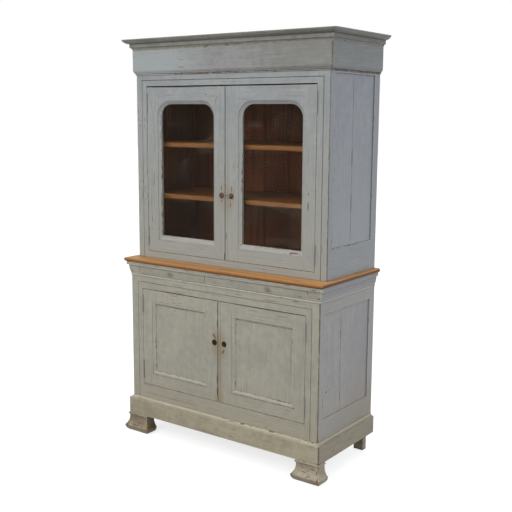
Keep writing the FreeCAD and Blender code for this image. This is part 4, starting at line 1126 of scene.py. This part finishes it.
def key_bit(mesh):
    bit = bmesh.ops.create_cube(mesh, size=1.0)["verts"]
    bmesh.ops.scale(mesh, vec=bit_size, verts=bit)
    bmesh.ops.translate(mesh, vec=bit_middle, verts=bit)


print("the key's stem is", round(stem_length * 1000, 1), "mm long")

# %% [markdown]
# ## The bow of the key
#
# The bow is the ring that the fingers hold, a rod bent round. A small circle is spun round the
# ring's middle, and the ring is turned upright and stretched a little, since no smith's ring is
# quite round. The whole key is set at the angle at which it was left.

# %% Bow
bow_radius, bow_rod, bow_overlap = 0.01, 0.0019, 0.0012
bow_stretch = (1.0, 1.0, 1.08)
KEY_TURN = Matrix.Rotation(math.radians(-45), 4, "Y")


def key_bow(mesh):
    before = set(mesh.verts)
    rod = bmesh.ops.create_circle(mesh, segments=14, radius=bow_rod)["verts"]
    bmesh.ops.translate(mesh, vec=(bow_radius, 0.0, 0.0), verts=rod)
    on_edge, upright = (Matrix.Rotation(math.radians(90), 3, axis) for axis in "XY")
    bmesh.ops.rotate(mesh, cent=ORIGIN, matrix=on_edge, verts=rod)
    spun(mesh, rod + list(loop_of(rod)), ALONG_Z, 40)
    ring = [vert for vert in mesh.verts if vert not in before]
    bmesh.ops.rotate(mesh, cent=ORIGIN, matrix=upright, verts=ring)
    bmesh.ops.scale(mesh, vec=bow_stretch, verts=ring)
    bmesh.ops.translate(mesh, vec=(0.0, bow_overlap - stem_length - bow_radius, 0.0), verts=ring)


key_mesh = bmesh.new()
key_stem(key_mesh)
key_bow(key_mesh)
key_bit(key_mesh)
put(key_mesh, key_mesh.verts, (lock_x, inner_face("upper_key"), upper_lock_z), KEY_TURN)
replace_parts(finished_piece("old_key", key_mesh, "upper_key", key_iron), "upper_key")

# %% [markdown]
# ## Nails in the back
#
# The back boards are nailed to the floor, the shelves and the top. The boards are all one width,
# so a loop finds their places, and two nails hold each board at each height.

# %% Back nails
board_count, nail_inset, nail_sunk, nail_from_end = 7, 0.03, 0.0012, 0.012
back_nail_radius, thickest_shelf = 0.0035, 0.05


def nail_heights(back_node, shelf_node):
    """One row near each end of the back, and one for a shelf or for each of two."""
    heights = []
    for node in (back_node, shelf_node):
        bottom, top = span(node, "z")
        single = top - bottom < thickest_shelf
        heights += [(bottom + top) / 2] if single else [bottom + nail_from_end, top - nail_from_end]
    return heights


def back_nails(name, back_node, shelf_node, body):
    low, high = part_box(back_node)
    pitch = (high.x - low.x) / board_count
    lefts = [low.x + pitch * board for board in range(board_count)]
    columns = [x for left in lefts for x in (left + nail_inset, left + pitch - nail_inset)]
    places = [(x, high.y - nail_sunk, z) for z in nail_heights(back_node, shelf_node) for x in columns]
    mesh = bmesh.new()
    nail_heads(mesh, places, back_nail_radius, TO_THE_BACK)
    return finished_piece(name, mesh, body, brown_iron)


back_nails("upper_back_nails", "upper_back", "upper_shelves", "cupboard")
back_nails("base_back_nails", "base_back", "base_shelf", "base")

# %% [markdown]
# ## Floor
#
# The photograph is a cut-out on white, taken in a room that was lit from the ceiling. The floor
# here is a dull grey that keeps the shadow and glows just enough for the camera to reach white.
# Bounced light meets a darker floor, as it did in the room, which leaves the undersides dark. The
# Light Path node tells the camera's rays from the bounced ones.

# %% Floor
floor_size, floor_glow = 30.0, 0.76
SEEN_BY = ("Camera", "Glossy", "Transmission")
white = (1.0, 1.0, 1.0, 1.0)


def rays(finish):
    """1 for the rays that the eye sees straight, in a mirror or through glass, else 0."""
    path = finish.tree.nodes.new("ShaderNodeLightPath")
    found = 0.0
    for kind in SEEN_BY:
        found = Field(finish, path.outputs["Is " + kind + " Ray"]).larger(found)
    return found


ground = Finish("pale_floor")
ground.surface_is(Base_Color=shade(165, 165, 165), Roughness=0.9, Specular_IOR_Level=0.1)
glow = ground.node("ShaderNodeEmission", None, {"Color": white, "Strength": floor_glow})
lit = ground.node("ShaderNodeAddShader", None, {0: Field(ground, ground.surface.outputs[0]), 1: glow})
dull = ground.node("ShaderNodeBsdfDiffuse", None, {"Color": shade(120, 118, 114)})
ground.replace_output(ground.node("ShaderNodeMixShader", None, {0: rays(ground), 1: dull, 2: lit}))

floor_mesh = bmesh.new()
bmesh.ops.create_grid(floor_mesh, x_segments=1, y_segments=1, size=floor_size)
floor = drawn("floor", floor_mesh, ground.material)
print("the floor is", round(floor.dimensions.x), "m wide")

# %% [markdown]
# ## Sky
#
# The camera sees a white sky, as do reflections and the glass, but the light that falls on the
# buffet is softer, and stronger from above. The sky is a `Finish` too, with the world's tree in
# place of a material's.

# %% Sky
dim_below, bright_above = (0.34, 0.35, 0.36, 1.0), (1.2, 1.21, 1.24, 1.0)

sky = Finish("store_room", "worlds", "Background", "Generated")
soft = sky.blend(sky.z.between(-0.1, 0.9), dim_below, bright_above)
sky.surface_is(Color=sky.blend(rays(sky), soft, white), Strength=1.0)
bpy.context.scene.world = sky.material
print("light from above is", round(bright_above[0] / dim_below[0], 1), "times that from below")

# %% [markdown]
# ## Lamps
#
# Two large lamps shape the buffet: a warm one from the front and above, and a cooler, weaker one
# from the right, which gives the side its blue cast. Their size makes the shadows soft.

# %% Lamps
lamp_aim = Vector((0.0, 0.0, 1.05))


def lamp(name, size, power, place, tint):
    """A large soft lamp, aimed at the buffet's middle."""
    data = bpy.data.lights.new(name, "AREA")
    data.shape = "SQUARE"
    data.size = size
    data.energy = power
    data.color = tint
    made = placed(name, data)
    made.location = place
    made.rotation_euler = (lamp_aim - Vector(place)).to_track_quat("-Z", "Y").to_euler()


lamp("front_lamp", 2.6, 118.0, (-0.4, -4.6, 3.6), (1.0, 0.975, 0.94))
lamp("side_lamp", 2.2, 50.0, (4.6, -0.6, 3.0), (0.8, 0.9, 1.0))
print("lamps:", len(bpy.data.lights))

# %% [markdown]
# ## Camera
#
# The camera stands where the photographer stood, which was worked out from the buffet's corners:
# to the right of the middle, a little above eye level, and 4.4 metres off. Yaw turns it aside,
# pitch down, and a very small roll tilts it. Its three axes come from these angles.

# %% Camera
yaw, pitch, roll = math.radians(35.97), math.radians(-9.5), math.radians(0.36)
camera_place = Vector((2.6229, -3.5371, 1.7607))
sensor_width, focal_length = 36.0, 59.22
forward = Vector((-math.sin(yaw) * math.cos(pitch), math.cos(yaw) * math.cos(pitch), math.sin(pitch)))
level_right = Vector((math.cos(yaw), math.sin(yaw), 0.0))
level_up = level_right.cross(forward)
right = math.cos(roll) * level_right + math.sin(roll) * level_up
up = right.cross(forward)

camera_data = bpy.data.cameras.new("camera")
camera_data.sensor_width = sensor_width
camera_data.lens = focal_length
camera = placed("camera", camera_data)
turn = Matrix((right, up, -forward)).transposed()
camera.matrix_world = Matrix.Translation(camera_place) @ turn.to_4x4()
bpy.context.scene.camera = camera
bpy.context.scene.view_settings.view_transform = "Standard"
print("the camera is", round(camera_place.to_2d().length, 2), "m from the middle")

# %% [markdown]
# The two agree within a millimetre.
